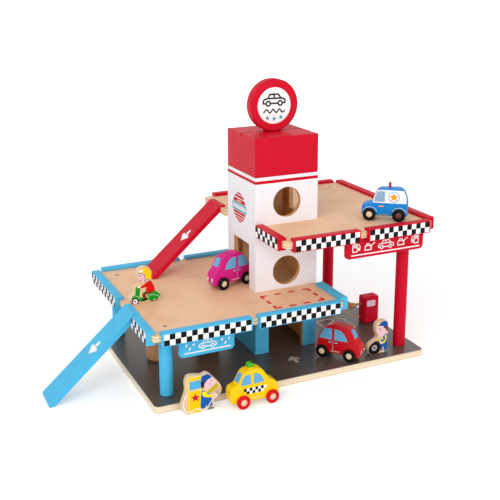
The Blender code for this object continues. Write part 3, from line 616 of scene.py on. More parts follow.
HOSE_R = 1.0
STRANDS, STRAND_TURN = 3, 7.0            # strands, and the length in which they turn once
STRAND_RISE = 0.14                       # share of the string's radius by which a strand stands out
nozzle_mouth = Vector((PUMP_X, PUMP_Y + NOZZLE_IN, BASE_T + LOOSE_GAP + NOZZLE_UP))
hose_start = Vector((PUMP_X - 0.3, PUMP_Y + 13.0, 20.8))
hose_end = nozzle_mouth - Vector((NOZZLE_REACH, 0, 0))
hose_route = [hose_start, hose_start + Vector((-4, -1, 0.2)), hose_start + Vector((-14, -4, 4)),
              hose_start + Vector((-27, -5, 12.5)), hose_end + Vector((-7.5, -3, -6)),
              hose_end + Vector((-6.5, -1, -1)), hose_end + Vector((-2.5, 0, 0)), hose_end]


def twisted_string(path, radius, around=18):
    """A bmesh of strands that wind round a path, with this many points around."""
    bm = bmesh.new()
    side = (path[1] - path[0]).orthogonal().normalized()
    travelled, rings = 0.0, []
    for i, point in enumerate(path):
        ahead = (path[min(i + 1, len(path) - 1)] - path[max(i - 1, 0)]).normalized()
        side = (side - ahead * side.dot(ahead)).normalized()
        other = ahead.cross(side)
        travelled += (point - path[i - 1]).length if i else 0.0
        turn = 2 * pi * travelled / STRAND_TURN
        ring = []
        for k in range(around):
            angle = 2 * pi * k / around
            reach = radius * (1 - STRAND_RISE + STRAND_RISE * abs(cos(STRANDS / 2 * (angle - turn))))
            ring.append(bm.verts.new(point + (side * cos(angle) + other * sin(angle)) * reach))
        rings.append(ring)
    for low, high in zip(rings, rings[1:]):
        for k in range(around):
            bm.faces.new((low[k], low[(k + 1) % around], high[(k + 1) % around], high[k]))
    bm.faces.new(rings[0][::-1])
    bm.faces.new(rings[-1])
    return bm


hose_path = smooth_curve(hose_route, per_span=16)
hose_length = sum((b - a).length for a, b in zip(hose_path, hose_path[1:]))
hose = place_piece("hose_string", twisted_string(hose_path, HOSE_R), [STRING], sharp=180)
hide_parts("pump_hose")
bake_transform(hose)
[row(*p) for p in hose_path]


# Checks on the rails

def checks(columns, start, low, first_black):
    """Two rows of squares from a start, the upper row first; first_black is for its first square."""
    shapes = []
    for line_number in (0, 1):
        for column in range(columns):
            black = (column + line_number) % 2 == (0 if first_black else 1)
            u, v = start + column * SQUARE, low + (1 - line_number) * SQUARE
            shapes.append(("black" if black else "white", bar(u, v, u + SQUARE, v + SQUARE)))
    return shapes


def rail_checks(node, side, columns=None, first_black=False):
    """Checks on the outer face of a rail, centred on it."""
    low, high = [(Vector(c) / MM) + Vector((BASE_W / 2, BASE_D / 2, 0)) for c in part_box(node)]
    face, start, end = {"front": (front(low.y), low.x, high.x), "rear": (rear(high.y), -high.x, -low.x),
                        "left": (left(low.x), -high.y, -low.y), "right": (right(high.x), low.y, high.y)}[side]
    columns = columns or int((end - start - 2 * RAIL_MARGIN + 0.1) / SQUARE)
    first = (start + end - columns * SQUARE) / 2
    foot = (low.z + high.z) / 2 - SQUARE
    picture(node + "_checks", "garage", face, checks(columns, first, foot, first_black), step=0.0)


FULL_RAIL = 9                           # columns on the rail whose checks run to its very ends
for node, side, first_black in (
        ("blue_rail_front_left", "front", False), ("blue_rail_front_right", "front", False),
        ("blue_rail_rear_left", "rear", False), ("blue_rail_rear_right", "rear", False),
        ("blue_rail_left_front", "left", True), ("blue_rail_left_rear", "left", True),
        ("blue_rail_right_front", "right", False), ("blue_rail_right_rear", "right", False),
        ("red_rail_front_left", "front", False), ("red_rail_front_right", "front", True),
        ("red_rail_rear_left", "rear", False), ("red_rail_rear_right", "rear", False),
        ("red_rail_left", "left", True), ("red_rail_right", "right", False)):
    rail_checks(node, side, FULL_RAIL if node == "red_rail_left" else None, first_black)


# Tower: red stripe all round, and a round badge on the left wall

STRIPE_LOW, STRIPE_HIGH = 292.1, 296.9
for label, face, start, end in (
        ("front", front(TOWER_Y0), TOWER_X0, TOWER_X1), ("rear", rear(TOWER_Y1), -TOWER_X1, -TOWER_X0),
        ("left", left(TOWER_X0), -TOWER_Y1, -TOWER_Y0), ("right", right(TOWER_X1), TOWER_Y0, TOWER_Y1)):
    stripe = bar(start, STRIPE_LOW, end, STRIPE_HIGH)
    picture("tower_stripe_" + label, "garage", face, [("stripe_red", stripe)])

BADGE_U, BADGE_Z, BADGE_R = -157.0, 242.0, 24.3         # its middle across the left wall and up; radius
# Heights over its middle between which it is red, and (ink, half width, low and high edge) of its bars
BADGE_SLICES = [(-24.2, -21.6), (-20.4, -17.4), (-15.9, -12.6), (-11.2, -7.4), (7.4, 13.8), (15.6, 19.8),
                (21.4, 24.2)]
BADGE_BARS = [("white", 7.0, 9.8, 11.4), ("teal", 27.0, -6.4, 6.2), ("badge_grey", 26.0, -3.9, 4.1)]
BADGE_STAR, BADGE_STAR_STEP = 2.9, 8.6


def slice_of_disc(u, v, radius, low, high):
    """The part of a disc between two heights over its middle."""
    round_part = [radius * sin(radians(angle)) for angle in range(-90, 91, 3)]
    heights = [low] + [height for height in round_part if low < height < high] + [high]
    side = [((radius ** 2 - height ** 2) ** 0.5, height) for height in heights]
    return [(u + a, v + b) for a, b in side] + [(u - a, v + b) for a, b in reversed(side)]


badge = [("red", slice_of_disc(BADGE_U, BADGE_Z, BADGE_R, low, high)) for low, high in BADGE_SLICES]
badge += [(ink, bar(BADGE_U - half, BADGE_Z + low, BADGE_U + half, BADGE_Z + high))
          for ink, half, low, high in BADGE_BARS]
badge += [("white", star(BADGE_U + BADGE_STAR_STEP * k, BADGE_Z, BADGE_STAR)) for k in (-2, -1, 0, 1, 2)]
picture("tower_badge", "garage", left(TOWER_X0), badge)


# Round sign: a white label with a pen drawing of a car, a flourish and three small stars

SIGN_X, SIGN_Y, SIGN_Z, SIGN_T, LABEL_R = 255.6, 150.0, 404.6, 17.0, 28.6
FLOURISH = [(-18, -10.4), (-13, -6.0), (-7.5, -11.2), (-2, -6.0), (3.5, -11.2), (9, -6.0), (14, -11.2),
            (18, -9.0)]                 # from the label's middle, as are the stars
LABEL_STARS = [(-11.8, -19.2), (0.0, -20.8), (11.8, -19.2)]


def pen_car(u, v, wide):
    """Pen lines of a small car seen from the side, this wide, that stands at (u, v)."""
    sill = [(-6.9, 3.4), (6.9, 3.4)]
    shell = [(14.1, 3.4), (18.6, 3.6), (19, 8), (16, 10.2), (11.5, 11.2), (7, 17.6), (-7.5, 17.6),
             (-11, 11.4), (-17, 10), (-19, 7.6), (-18.8, 3.6), (-14.1, 3.4)]
    belt = [(-8.5, 11.2), (9.5, 11.2)]
    pillar = [(0, 11.2), (0, 17.2)]
    wheels = [disc(middle, 3.4, 3.6, steps=16) for middle in (-10.5, 10.5)]
    size = wide / 38                    # the lines are drawn for a car 38 wide
    return [[(u + a * size, v + b * size) for a, b in points]
            for points in [sill, shell, belt, pillar] + [wheel + wheel[:1] for wheel in wheels]]


def round_label(mirror):
    """The label's shapes; mirror is 1 on the front face and -1 on the rear, whose right is -X."""
    u = SIGN_X * mirror
    flourish = smooth_curve([(u + a, SIGN_Z + b) for a, b in FLOURISH])
    return ([("white", disc(u, SIGN_Z, LABEL_R, steps=64)), ("black", strokes(pen_car(u, SIGN_Z, 38), 2.6)),
             ("black", strokes([flourish], 2.3))]
            + [("teal", star(u + a, SIGN_Z + b, 4.3, 0.45)) for a, b in LABEL_STARS])


picture("round_sign_label_front", "garage", front(SIGN_Y - SIGN_T / 2), round_label(1))
picture("round_sign_label_rear", "garage", rear(SIGN_Y + SIGN_T / 2), round_label(-1))


# Hanging sign boards: pen drawings in white over a white line

PEN, RULE = 1.7, 2.0                    # width of the drawings' lines and of the line below them
DROPS = [(52.5, 91.5), (57.5, 85.6), (63.4, 91.4), (107.4, 91.4), (112.6, 85.6), (118.4, 91.5)]


def drop(u, v, size, lean=-22):
    """A falling drop of water."""
    outline = [(0, 1.25), (0.36, 0.55), (0.62, -0.05), (0.55, -0.5), (0.3, -0.78), (0, -0.88), (-0.3, -0.78),
               (-0.55, -0.5), (-0.62, -0.05), (-0.36, 0.55)]
    turn = Matrix.Rotation(radians(lean), 2)
    return [Vector((u, v)) + turn @ (Vector(p) * size) for p in outline]


def pen_pump(u, v, mirror=1):
    """Pen lines of a fuel pump 13 mm tall that stands at (u, v)."""
    case = [(-4, 0), (-4, 11), (-3, 12.6), (3, 12.6), (4, 11), (4, 0), (-4, 0)]
    dial = [(-2, 7.4), (2, 7.4), (2, 10.2), (-2, 10.2), (-2, 7.4)]
    pipe = [(4, 5.5), (6.2, 5.5), (6.6, 2.2), (8.4, 2.2), (8.8, 8.6), (6.6, 11.4)]
    return [[(u + a * mirror, v + b) for a, b in points] for points in (case, dial, pipe)]


def pen_can(u, v):
    """Pen lines of an oil can with a long spout."""
    can = [(-7, 0), (-5.8, 7), (3.8, 7), (5, 0), (-7, 0)]
    spout = [(3.4, 4.6), (9.6, 10.4), (11, 9.8)]
    handle = [(-4, 7), (-3.6, 9.8), (0.8, 9.8), (1.2, 7)]
    return [[(u + a, v + b) for a, b in points] for points in (can, spout, handle)]


wash_marks = [("white", line([(49.2, 79.3), (121.4, 79.3)], RULE)),
              ("white", strokes(pen_car(85.2, 82.8, 27), PEN))]
wash_marks += [("white", drop(u, v, 2.6)) for u, v in DROPS]
picture("wash_sign_picture", "garage", front(SIGN_BOARD_Y), wash_marks)

fuel_drawings = [pen_pump(329.0, 192.4), pen_pump(441.5, 192.4, -1), pen_car(385.2, 191.6, 28),
                 pen_can(353.5, 193.0), pen_can(413.5, 193.0)]
fuel_marks = [("white", line([(322.0, 186.9), (448.4, 186.9)], RULE))]
fuel_marks += [("white", strokes(drawing, PEN)) for drawing in fuel_drawings]
picture("fuel_sign_picture", "garage", front(SIGN_BOARD_Y), fuel_marks)


# Deck and base markings

PARKING_PLACE = (201.0, 24.0, 287.4, 81.2)              # its left, front, right and rear edges
DASH_W, DASH_LONG = 5.0, 12.2
LONG_EDGE_DASHES = (24.8, 49.0)                         # where they start, from the place's left edge
SHORT_EDGE_DASH = (45.4, 59.0)                          # Y of its two ends
GARAGE_ARROW = [(251.0, 68.6), (240.3, 58.4), (243.4, 53.4), (247.9, 57.6), (247.9, 44.4), (254.1, 44.4),
                (254.1, 57.6), (258.7, 53.4), (262.0, 58.4)]
BAY_CAR = [(357.2, 128), (357.2, 150), (357.6, 170), (360.5, 176.2), (372, 176.8), (383.6, 176.4),
           (386.6, 172), (386.6, 160), (392.6, 149.6), (396.2, 140), (396.6, 128)]
BAY_KERB = [(393.4, 178), (399.4, 175), (404.4, 167), (405.9, 158), (406.6, 149), (409.2, 135),
            (407.6, 128.2), (402.4, 124.9), (395.4, 124.6)]
BAY_TICK = [(405.9, 160.6), (409.4, 163.4)]


def parking_dashes(x0, y0, x1, y1):
    """Corner angles and dashes round a parking place."""
    shapes = []
    for cx, sx in ((x0, 1), (x1, -1)):
        for cy, sy in ((y0, 1), (y1, -1)):
            corner = [(0, 0), (DASH_LONG, 0), (DASH_LONG, DASH_W), (DASH_W, DASH_W), (DASH_W, DASH_LONG),
                      (0, DASH_LONG)]
            shapes.append(("dash_red", [(cx + sx * a, cy + sy * b) for a, b in corner]))
    for edge in (y0, y1 - DASH_W):
        for start in LONG_EDGE_DASHES:
            shapes.append(("dash_red", bar(x0 + start, edge, x0 + start + DASH_LONG, edge + DASH_W)))
    for edge in (x0, x1 - DASH_W):
        shapes.append(("dash_red", bar(edge, SHORT_EDGE_DASH[0], edge + DASH_W, SHORT_EDGE_DASH[1])))
    return shapes


picture("parking_dashes_lower", "garage", top(LOWER_TOP), parking_dashes(*PARKING_PLACE), step=0.0)
picture("garage_arrow", "garage", top(BASE_T), [("mark_grey", GARAGE_ARROW)])
picture("fuel_bay_marking", "garage", top(BASE_T), [
    ("mark_pink", strokes([smooth_curve(BAY_CAR), smooth_curve(BAY_KERB), BAY_TICK], 2.8))])


# Ramps: a white arrow that points down each slope

def slope(y, high, low):
    """The face of a ramp, whose up direction climbs it; its place is where the slope begins at the top."""
    climb = (Vector((high[0], 0, high[1])) - Vector((low[0], 0, low[1]))).normalized()
    return Vector((high[0], y, high[1])), -Y, climb


RAMP_ARROW = [(0, -87.2), (-12.2, -76.4), (-9.2, -72.4), (-3.2, -74.0), (-3.2, -63.5), (3.3, -63.5),
              (3.3, -74.0), (9.2, -72.4), (11.8, -76.2)]
BLUE_SLOPE = slope(108.0, (0.0, 120.5), (-131.0, 4.3))
RED_SLOPE = slope(248.0, (198.0, 229.0), (76.2, 121.3))
for node, face, aside in (("blue_ramp", BLUE_SLOPE, 1.9), ("red_ramp", RED_SLOPE, 5.0)):
    picture(node + "_arrow", node, face, [("white", [(u + aside, v) for u, v in RAMP_ARROW])], over=node)


# Screws that hold the decks on their posts

SCREW_R, SCREW_RISE = 2.9, 0.45
RECESS_ARM, RECESS_HALF = 1.7, 0.4      # length and half width of each arm of the cross


def screw_head(steps=36):
    """A low domed head with a cross-shaped recess."""
    cross = []
    for quarter in range(4):
        turn = Matrix.Rotation(quarter * pi / 2, 2)
        for corner in ((RECESS_ARM, RECESS_HALF), (RECESS_HALF, RECESS_HALF), (RECESS_HALF, RECESS_ARM)):
            cross.append(turn @ Vector(corner))
    bm = bmesh.new()
    rings = []
    for radius, height in ((SCREW_R, 0.02), (SCREW_R * 0.92, SCREW_RISE * 0.6)):
        rings.append([bm.verts.new((u, v, height)) for u, v in disc(0, 0, radius, steps=steps)])
    for k in range(steps):
        bm.faces.new((rings[0][k], rings[0][(k + 1) % steps], rings[1][(k + 1) % steps], rings[1][k]))
    upper = [bm.verts.new((u, v, SCREW_RISE)) for u, v in cross]
    lower = [bm.verts.new((u * 0.7, v * 0.7, 0.03)) for u, v in cross]
    count = len(cross)
    edges = [bm.edges.new((upper[i], upper[(i + 1) % count])) for i in range(count)]
    rim = [edge for edge in bm.edges if all(v in rings[1] for v in edge.verts)]
    bmesh.ops.triangle_fill(bm, use_beauty=True, edges=edges + rim)
    for i in range(count):
        bm.faces.new((upper[i], lower[i], lower[(i + 1) % count], upper[(i + 1) % count]))
    bm.faces.new(lower)
    bmesh.ops.recalc_face_normals(bm, faces=bm.faces)
    return bm


for number, (x, y, z) in enumerate(POST_TOPS):
    turn = Matrix.Translation((x, y, z)) @ Matrix.Rotation(radians(25 + 40 * number), 4, "Z")
    place_piece(f"deck_screw_{number + 1}", screw_head(), [SCREW], "garage", turn)


# Fuel pump: a pale panel with two lines

picture("pump_panel", "garage", front(PUMP_Y), [
    ("pale_panel", soft(bar(PUMP_X + 5.6, 42.9, PUMP_X + 22.2, 53.6), 2.2)),
    ("panel_faint", bar(PUMP_X + 8.5, 49.2, PUMP_X + 19.5, 50.2)),
    ("panel_faint", bar(PUMP_X + 8.5, 45.8, PUMP_X + 15.5, 46.8))])


# Wheels: black or red tyres with the beech peg that holds them on the axle

def wheelset():
    """An axle with a wheel and its peg on each end; materials are the tyre's and the peg's."""
    inner, face = WHEEL_FACE - WHEEL_T, WHEEL_FACE
    side = [(AXLE_R, inner), (WHEEL_R - 1.2, inner), (WHEEL_R - 0.3, inner + 0.5), (WHEEL_R, inner + 1.4),
            (WHEEL_R, face - 1.6), (WHEEL_R - 0.35, face - 0.7), (WHEEL_R - 1.3, face - 0.1), (6.2, face),
            (5.3, face - 0.2), (4.9, face - 1.0), (4.4, face - 1.0), (4.3, face - 0.1), (3.7, face + 0.3),
            (2.2, face + 0.5), (0, face + 0.55)]
    tyre, peg = 0, 1
    sections = [tyre] * 9 + [peg] * 5
    profile = [(r, -z) for r, z in reversed(side)] + side
    return turned(profile, 48, sections[::-1] + [peg] + sections)


def car_frame(car):
    """The place of a car, whose own X runs along its heading."""
    (x, y), (hx, hy), floor = CARS[car]
    return Matrix.Translation((x, y, floor)) @ Matrix.Rotation(atan2(hy, hx), 4, "Z")


for car in CARS:
    tyre = TYRE_RED if car == "taxi" else TYRE_BLACK
    for word, along in (("front", WHEELBASE / 2), ("rear", -WHEELBASE / 2)):
        node = f"{car}_{word}_wheels"
        middle = Matrix.Translation((along, 0, LOOSE_GAP + WHEEL_R))
        axle = car_frame(car) @ middle @ Matrix.Rotation(-pi / 2, 4, "X")
        # The police van's rear pegs are darker red-brown than the others.
        peg = DARK_PEG if node == "police_van_rear_wheels" else PEG
        wheels = place_piece(f"{car}_{word}_wheelset", wheelset(), [tyre, peg], node, axle)
        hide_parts(node)


# Car prints: windows, lights and trim, on both sides and on the front

def side_print(car, label, shapes):
    """The same print on both sides of a car; outlines are (along the heading, up from the floor)."""
    place = car_frame(car)
    turn = place.to_3x3()
    for side, word in ((1, "left"), (-1, "right")):
        face = (place @ Vector((0, side * BODY_HALF, 0)), turn @ Vector((-side, 0, 0)), Z)
        turned_shapes = [(ink, [(-side * u, v) for u, v in outline]) for ink, outline in shapes]
        picture(f"{car}_{label}_{word}", car, face, turned_shapes, over=car + "_body")


def slope_print(car, label, foot, head, shapes):
    """A print on a sloping face from foot to head, both (along, up); outlines are (across, up the slope)."""
    place = car_frame(car)
    turn = place.to_3x3()
    up = Vector((head[0] - foot[0], 0, head[1] - foot[1])).normalized()
    side = 1 if up.cross(Vector((0, 1, 0))).x < 0 else -1
    face = (place @ Vector((foot[0], 0, foot[1])), turn @ Vector((0, side, 0)), turn @ up)
    picture(f"{car}_{label}", car, face, shapes, over=car + "_body")


def pane(curved, *corners):
    """A window: a curved edge through points, closed over its corners."""
    return smooth_curve(curved) + list(corners)


def round_car_prints(car):
    """The windows, handles and lights of the two round cars."""
    side_print(car, "side", [
        ("glass_blue", pane([(-28.4, 31.8), (-26.8, 38.3), (-22.6, 46.2), (-17.0, 49.8), (-7.4, 50.2)],
                            (-7.4, 31.2))),
        ("glass_blue", pane([(-3.2, 50.2), (4.2, 49.9), (10.9, 46.7), (16.2, 39.6), (18.9, 32.2)],
                            (-3.2, 31.2))),
        ("handle_blue", soft(bar(-13.2, 26.0, -8.2, 28.1), 0.9)),
        ("handle_blue", soft(bar(-3.0, 26.0, 2.6, 28.1), 0.9)),
        ("handle_blue", bar(-6.0, 14.0, -5.2, 30.4)), ("cream", bar(-9.0, 12.1, 6.0, 13.0))])
    slope_print(car, "windscreen", (31, 36.5), (22, 53), [
        ("glass_blue", soft([(-6.6, 1.8), (-5.4, 16.4), (5.4, 16.4), (6.6, 1.8)], 1.6))])
    slope_print(car, "lights", (42, 10), (42, 30), [
        ("white", disc(-5.7, 8.7, 1.9, 2.8, 20)), ("white", disc(5.7, 8.7, 1.9, 2.8, 20)),
        ("handle_blue", soft(bar(-6.6, 2.2, 6.6, 4.4), 0.9))])


round_car_prints("red_car")
round_car_prints("pink_car")

TAXI_SQUARE, TAXI_COLUMNS = 4.5, 8
TAXI_FIRST, TAXI_HIGH = 21.8, 30.1      # front end and upper edge of the taxi's squares
taxi_shapes = [
    ("glass_blue", pane([(26.2, 35.2), (25.2, 41.0), (23.0, 46.8), (19.0, 50.6), (11.0, 51.2)], (9.8, 35.6))),
    ("glass_blue", pane([(6.0, 51.2), (0.4, 50.9), (-4.8, 47.2), (-9.0, 41.1), (-10.7, 35.8)], (6.0, 35.3)))]
for column in range(TAXI_COLUMNS):
    for line_number in (0, 1):
        if line_number == 0 or 0 < column < TAXI_COLUMNS - 1:
            ink = "black" if (column + line_number) % 2 == 0 else "white"
            u, v = TAXI_FIRST - column * TAXI_SQUARE, TAXI_HIGH - line_number * TAXI_SQUARE
            taxi_shapes.append((ink, bar(u - TAXI_SQUARE, v - TAXI_SQUARE, u, v)))
taxi_shapes.append(("cream", bar(-4.0, 13.4, 11.0, 14.2)))
side_print("taxi", "side", taxi_shapes)
slope_print("taxi", "windscreen", (30.5, 37.5), (21, 54), [
    ("glass_blue", soft([(-6.6, 1.6), (-5.6, 16), (5.6, 16), (6.6, 1.6)], 1.6))])

ring = [("sky_ring", arc(-14.8, 39.4, 8.4, 1.4, start, start + 25, 4)) for start in range(0, 360, 30)]
side_print("police_van", "side", [
    ("white", pane([(18.0, 29.2), (16.4, 38.3), (12.6, 47.0), (9.7, 49.8), (-25.3, 50.0), (-31.2, 46.4),
                    (-34.0, 38.3), (-34.4, 29.2)])),
    ("glass_grey", pane([(15.8, 31.0), (14.6, 38.3), (11.3, 46.6), (8.6, 48.1), (-0.6, 48.1)], (-0.6, 30.8)))]
    + ring + [
    ("amber", star(-14.8, 38.9, 7.2, 0.45)), ("amber", soft(bar(1.0, 22.8, 8.6, 25.0), 0.8)),
    ("olive", bar(-8.0, 10.2, 8.0, 11.2)),
    ("arc_white", arc(22.3, 10.2, 11.9, 1.0, 20, 160)), ("arc_white", arc(-23.6, 10.2, 11.9, 1.0, 22, 160))])
slope_print("police_van", "windscreen", (20, 30.5), (11.5, 51), [
    ("glass_grey", soft([(-6.6, 1.5), (-5.8, 17.5), (5.8, 17.5), (6.6, 1.5)], 1.6))])


# Figures: pictures printed on the front of each flat figure, up to its rounded edge

FIGURE_EASE = 1.0
ATTENDANT = [(4, 0), (-2, 6), (-4.2, 16), (2.4, 34), (2, 46), (4, 55), (10, 58.7), (26.5, 55.8), (32, 57.5),
             (37.5, 56.5), (45.3, 48.5), (53, 39.5), (57.4, 30), (55.5, 22.5), (49.5, 16.5), (45.2, 11.5),
             (44.7, 0)]
MECHANIC = [(4, 0), (-2, 5), (-3, 12), (1, 19), (7, 22.5), (13, 25.5), (15, 30.5), (12.2, 37), (11, 46),
            (14, 53), (21, 56), (29, 55.3), (33.8, 50.5), (34.4, 38), (34.4, 18), (34.3, 0)]
SCOOTER = [(0, 0), (-5, 2.5), (-6.4, 9), (-2, 14.5), (0.4, 20), (0.2, 26), (4, 28.8), (9.5, 30.5), (7, 38),
           (6.4, 47), (9.5, 55.2), (16.5, 57.6), (25, 55), (29.2, 47.5), (28.3, 37), (32.5, 28), (34.4, 18),
           (40, 14.2), (43.6, 8.2), (40, 3), (34, 0)]


def figure_picture(node, outline, shapes):
    """The picture on a figure's front face, drawn in from its outline by the rounded edge."""
    edge = inset(smooth_curve(outline, 3), FIGURE_EASE)
    picture(node + "_picture", node, (Vector(FIGURES[node]), X, Z), shapes, within=edge)


figure_picture("attendant", ATTENDANT, [
    # a yellow pump with a window and a star
    ("pump_yellow", pane([(4.1, 1.0), (4.1, 50.0), (6.4, 55.0), (10.8, 57.4), (24.6, 58.0)], (24.8, 1.0))),
    ("cream", strokes([smooth_curve([(6.9, 2.0), (6.9, 34.0), (6.3, 46.0), (7.8, 51.6), (12.6, 54.6),
                                     (24.6, 55.8)]), [(6.9, 34.6), (24.6, 35.0)]], 0.8)),
    ("window_blue", soft([(7.4, 36.5), (24.8, 36.9), (24.8, 49.9), (7.6, 49.5)], 1.2)),
    ("red", star(16.4, 23.6, 7.0, 0.45)),
    # overalls, shoe, the white hose, a hand, sleeves and the raised hand
    ("overall_blue", [blob((25.8, 30.8), (28.3, 32.2), (30.8, 31.0), (33.5, 28.4), (40.0, 24.5),
                           (40.4, 19.0), (41.6, 14.0), (41.4, 7.4), (39.0, 5.4), (34.6, 5.2), (32.6, 9.6),
                           (31.2, 5.0), (25.6, 4.8), (23.9, 8.6), (24.6, 20.0))]),
    ("shoe_grey", blob((34.6, 1.2), (36.4, 4.0), (41.0, 4.8), (44.6, 3.4), (44.6, 1.2))),
    ("white", strokes([smooth_curve([(3.4, 29.3), (0.1, 24.5), (-1.7, 18.3), (-1.7, 12.0), (0.8, 6.4),
                                     (4.5, 3.5), (10.8, 3.3), (14.6, 5.4), (18.9, 6.0), (22.8, 4.2),
                                     (27.6, 1.9), (31.6, 2.2), (35.1, 5.1), (37.8, 9.6), (41.6, 14.8)], 3)],
                      1.3)),
    ("skin", blob((41.2, 23.8), (45.6, 25.8), (48.4, 23.4), (48.9, 19.0), (45.8, 15.9), (42.0, 16.6))),
    ("lemon", blob((26.4, 29.0), (29.4, 30.8), (33.2, 28.4), (35.3, 25.2), (41.4, 24.4), (42.0, 20.2),
                   (36.6, 19.9), (30.6, 21.8), (27.0, 25.2))),
    ("lemon", blob((33.6, 31.0), (35.6, 31.4), (36.4, 28.6), (34.6, 28.2))),
    ("skin", blob((49.6, 39.2), (51.6, 42.6), (54.2, 39.2), (53.9, 34.6), (51.6, 33.8))),
    # head, the sleeve raised before it, hair and cap
    ("skin", blob((29.5, 44.6), (32.4, 46.6), (38.0, 49.2), (43.0, 50.4), (46.4, 47.0), (48.0, 42.4),
                  (45.4, 38.0), (39.5, 34.0), (34.6, 31.6), (31.8, 33.4), (30.2, 38.6))),
    ("mustard", blob((36.2, 32.3), (43.0, 35.4), (49.4, 39.4), (51.6, 34.2), (45.6, 30.2), (39.5, 27.0),
                     (35.8, 28.9))),
    ("hair_black", blob((25.2, 47.2), (24.9, 41.0), (26.4, 35.8), (29.6, 38.4), (30.4, 42.6), (33.8, 46.6),
                        (30.0, 48.2))),
    ("cap_blue", blob((25.7, 47.2), (25.7, 52.4), (28.2, 56.2), (32.5, 57.4), (36.6, 56.4), (40.2, 53.0),
                      (41.4, 50.8), (36.0, 47.8), (29.6, 45.9))),
    ("cap_blue", strokes([[(40.4, 51.8), (45.4, 52.4)]], 1.0)),
    ("eye_grey", disc(40.8, 45.2, 1.1, 0.9, 16)), ("cheek", disc(38.0, 41.3, 1.2, steps=16)),
    ("lip", strokes([[(39.6, 37.8), (41.6, 38.4)]], 0.8)),
    # nozzle on the hose
    ("nozzle_grey", strokes([smooth_curve([(44.8, 15.4), (48.4, 16.0), (51.4, 18.9), (51.8, 22.4),
                                           (48.2, 25.4)], 4), [(46.4, 25.8), (51.6, 27.6), (55.6, 28.4)]],
                            1.0))])

figure_picture("mechanic", MECHANIC, [
    # overalls, sleeves and hand
    ("overall_blue", soft([(21.0, 4.2), (21.0, 27.6), (28.6, 32.4), (33.6, 31.2), (33.9, 4.2), (27.8, 4.2),
                           (26.6, 10.6), (24.0, 10.4), (23.8, 4.2)], 1.0)),
    ("lemon", blob((22.4, 28.4), (24.4, 27.8), (25.0, 23.6), (22.6, 23.6))),
    ("lemon", blob((29.2, 30.4), (31.6, 28.4), (31.0, 22.4), (27.8, 17.2), (23.7, 16.3), (23.2, 19.0),
                   (26.6, 20.4), (28.8, 23.6), (28.2, 28.2))),
    ("mustard", blob((13.2, 24.6), (18.7, 23.5), (19.0, 20.9), (15.2, 21.2))),
    ("skin", blob((17.6, 18.0), (19.6, 20.2), (23.4, 19.6), (23.8, 16.4), (19.4, 15.8))),
    # head, hair and cap
    ("skin", blob((13.4, 47.6), (12.6, 43.4), (12.2, 41.4), (13.4, 39.6), (13.9, 35.8), (16.6, 32.6),
                  (18.2, 29.4), (23.0, 28.2), (28.4, 31.6), (32.2, 34.8), (31.4, 39.0), (28.6, 43.6),
                  (24.0, 47.4))),
    ("hair_brown", blob((25.3, 45.4), (33.2, 45.0), (33.4, 40.2), (31.6, 36.3), (29.6, 39.4), (27.4, 41.4),
                        (25.6, 42.0))),
    ("skin", disc(27.5, 41.2, 1.4, steps=16)),
    ("cap_blue", blob((13.2, 48.7), (17.8, 50.4), (20.2, 53.4), (25.3, 55.2), (30.4, 53.8), (33.2, 50.0),
                      (33.6, 45.6), (30.4, 44.4), (24.4, 46.4), (17.8, 47.6))),
    ("eye_black", disc(17.5, 42.8, 1.1, 1.2, 16)), ("cheek", disc(20.0, 39.2, 1.4, steps=16)),
    ("lip", strokes([[(14.6, 35.9), (16.6, 35.4)]], 0.8)),
    # the tyre that is held up, and the shoes
    ("black", disc(9.0, 11.4, 12.0, steps=48)),
    ("tyre_grey", disc(9.0, 11.4, 5.1)),
    ("hub_red", disc(9.0, 11.4, 2.0)),
    ("cream", soft(bar(23.8, 1.0, 27.4, 4.0), 1.0)), ("shoe_grey", soft(bar(28.0, 1.0, 33.6, 3.9), 1.0))])

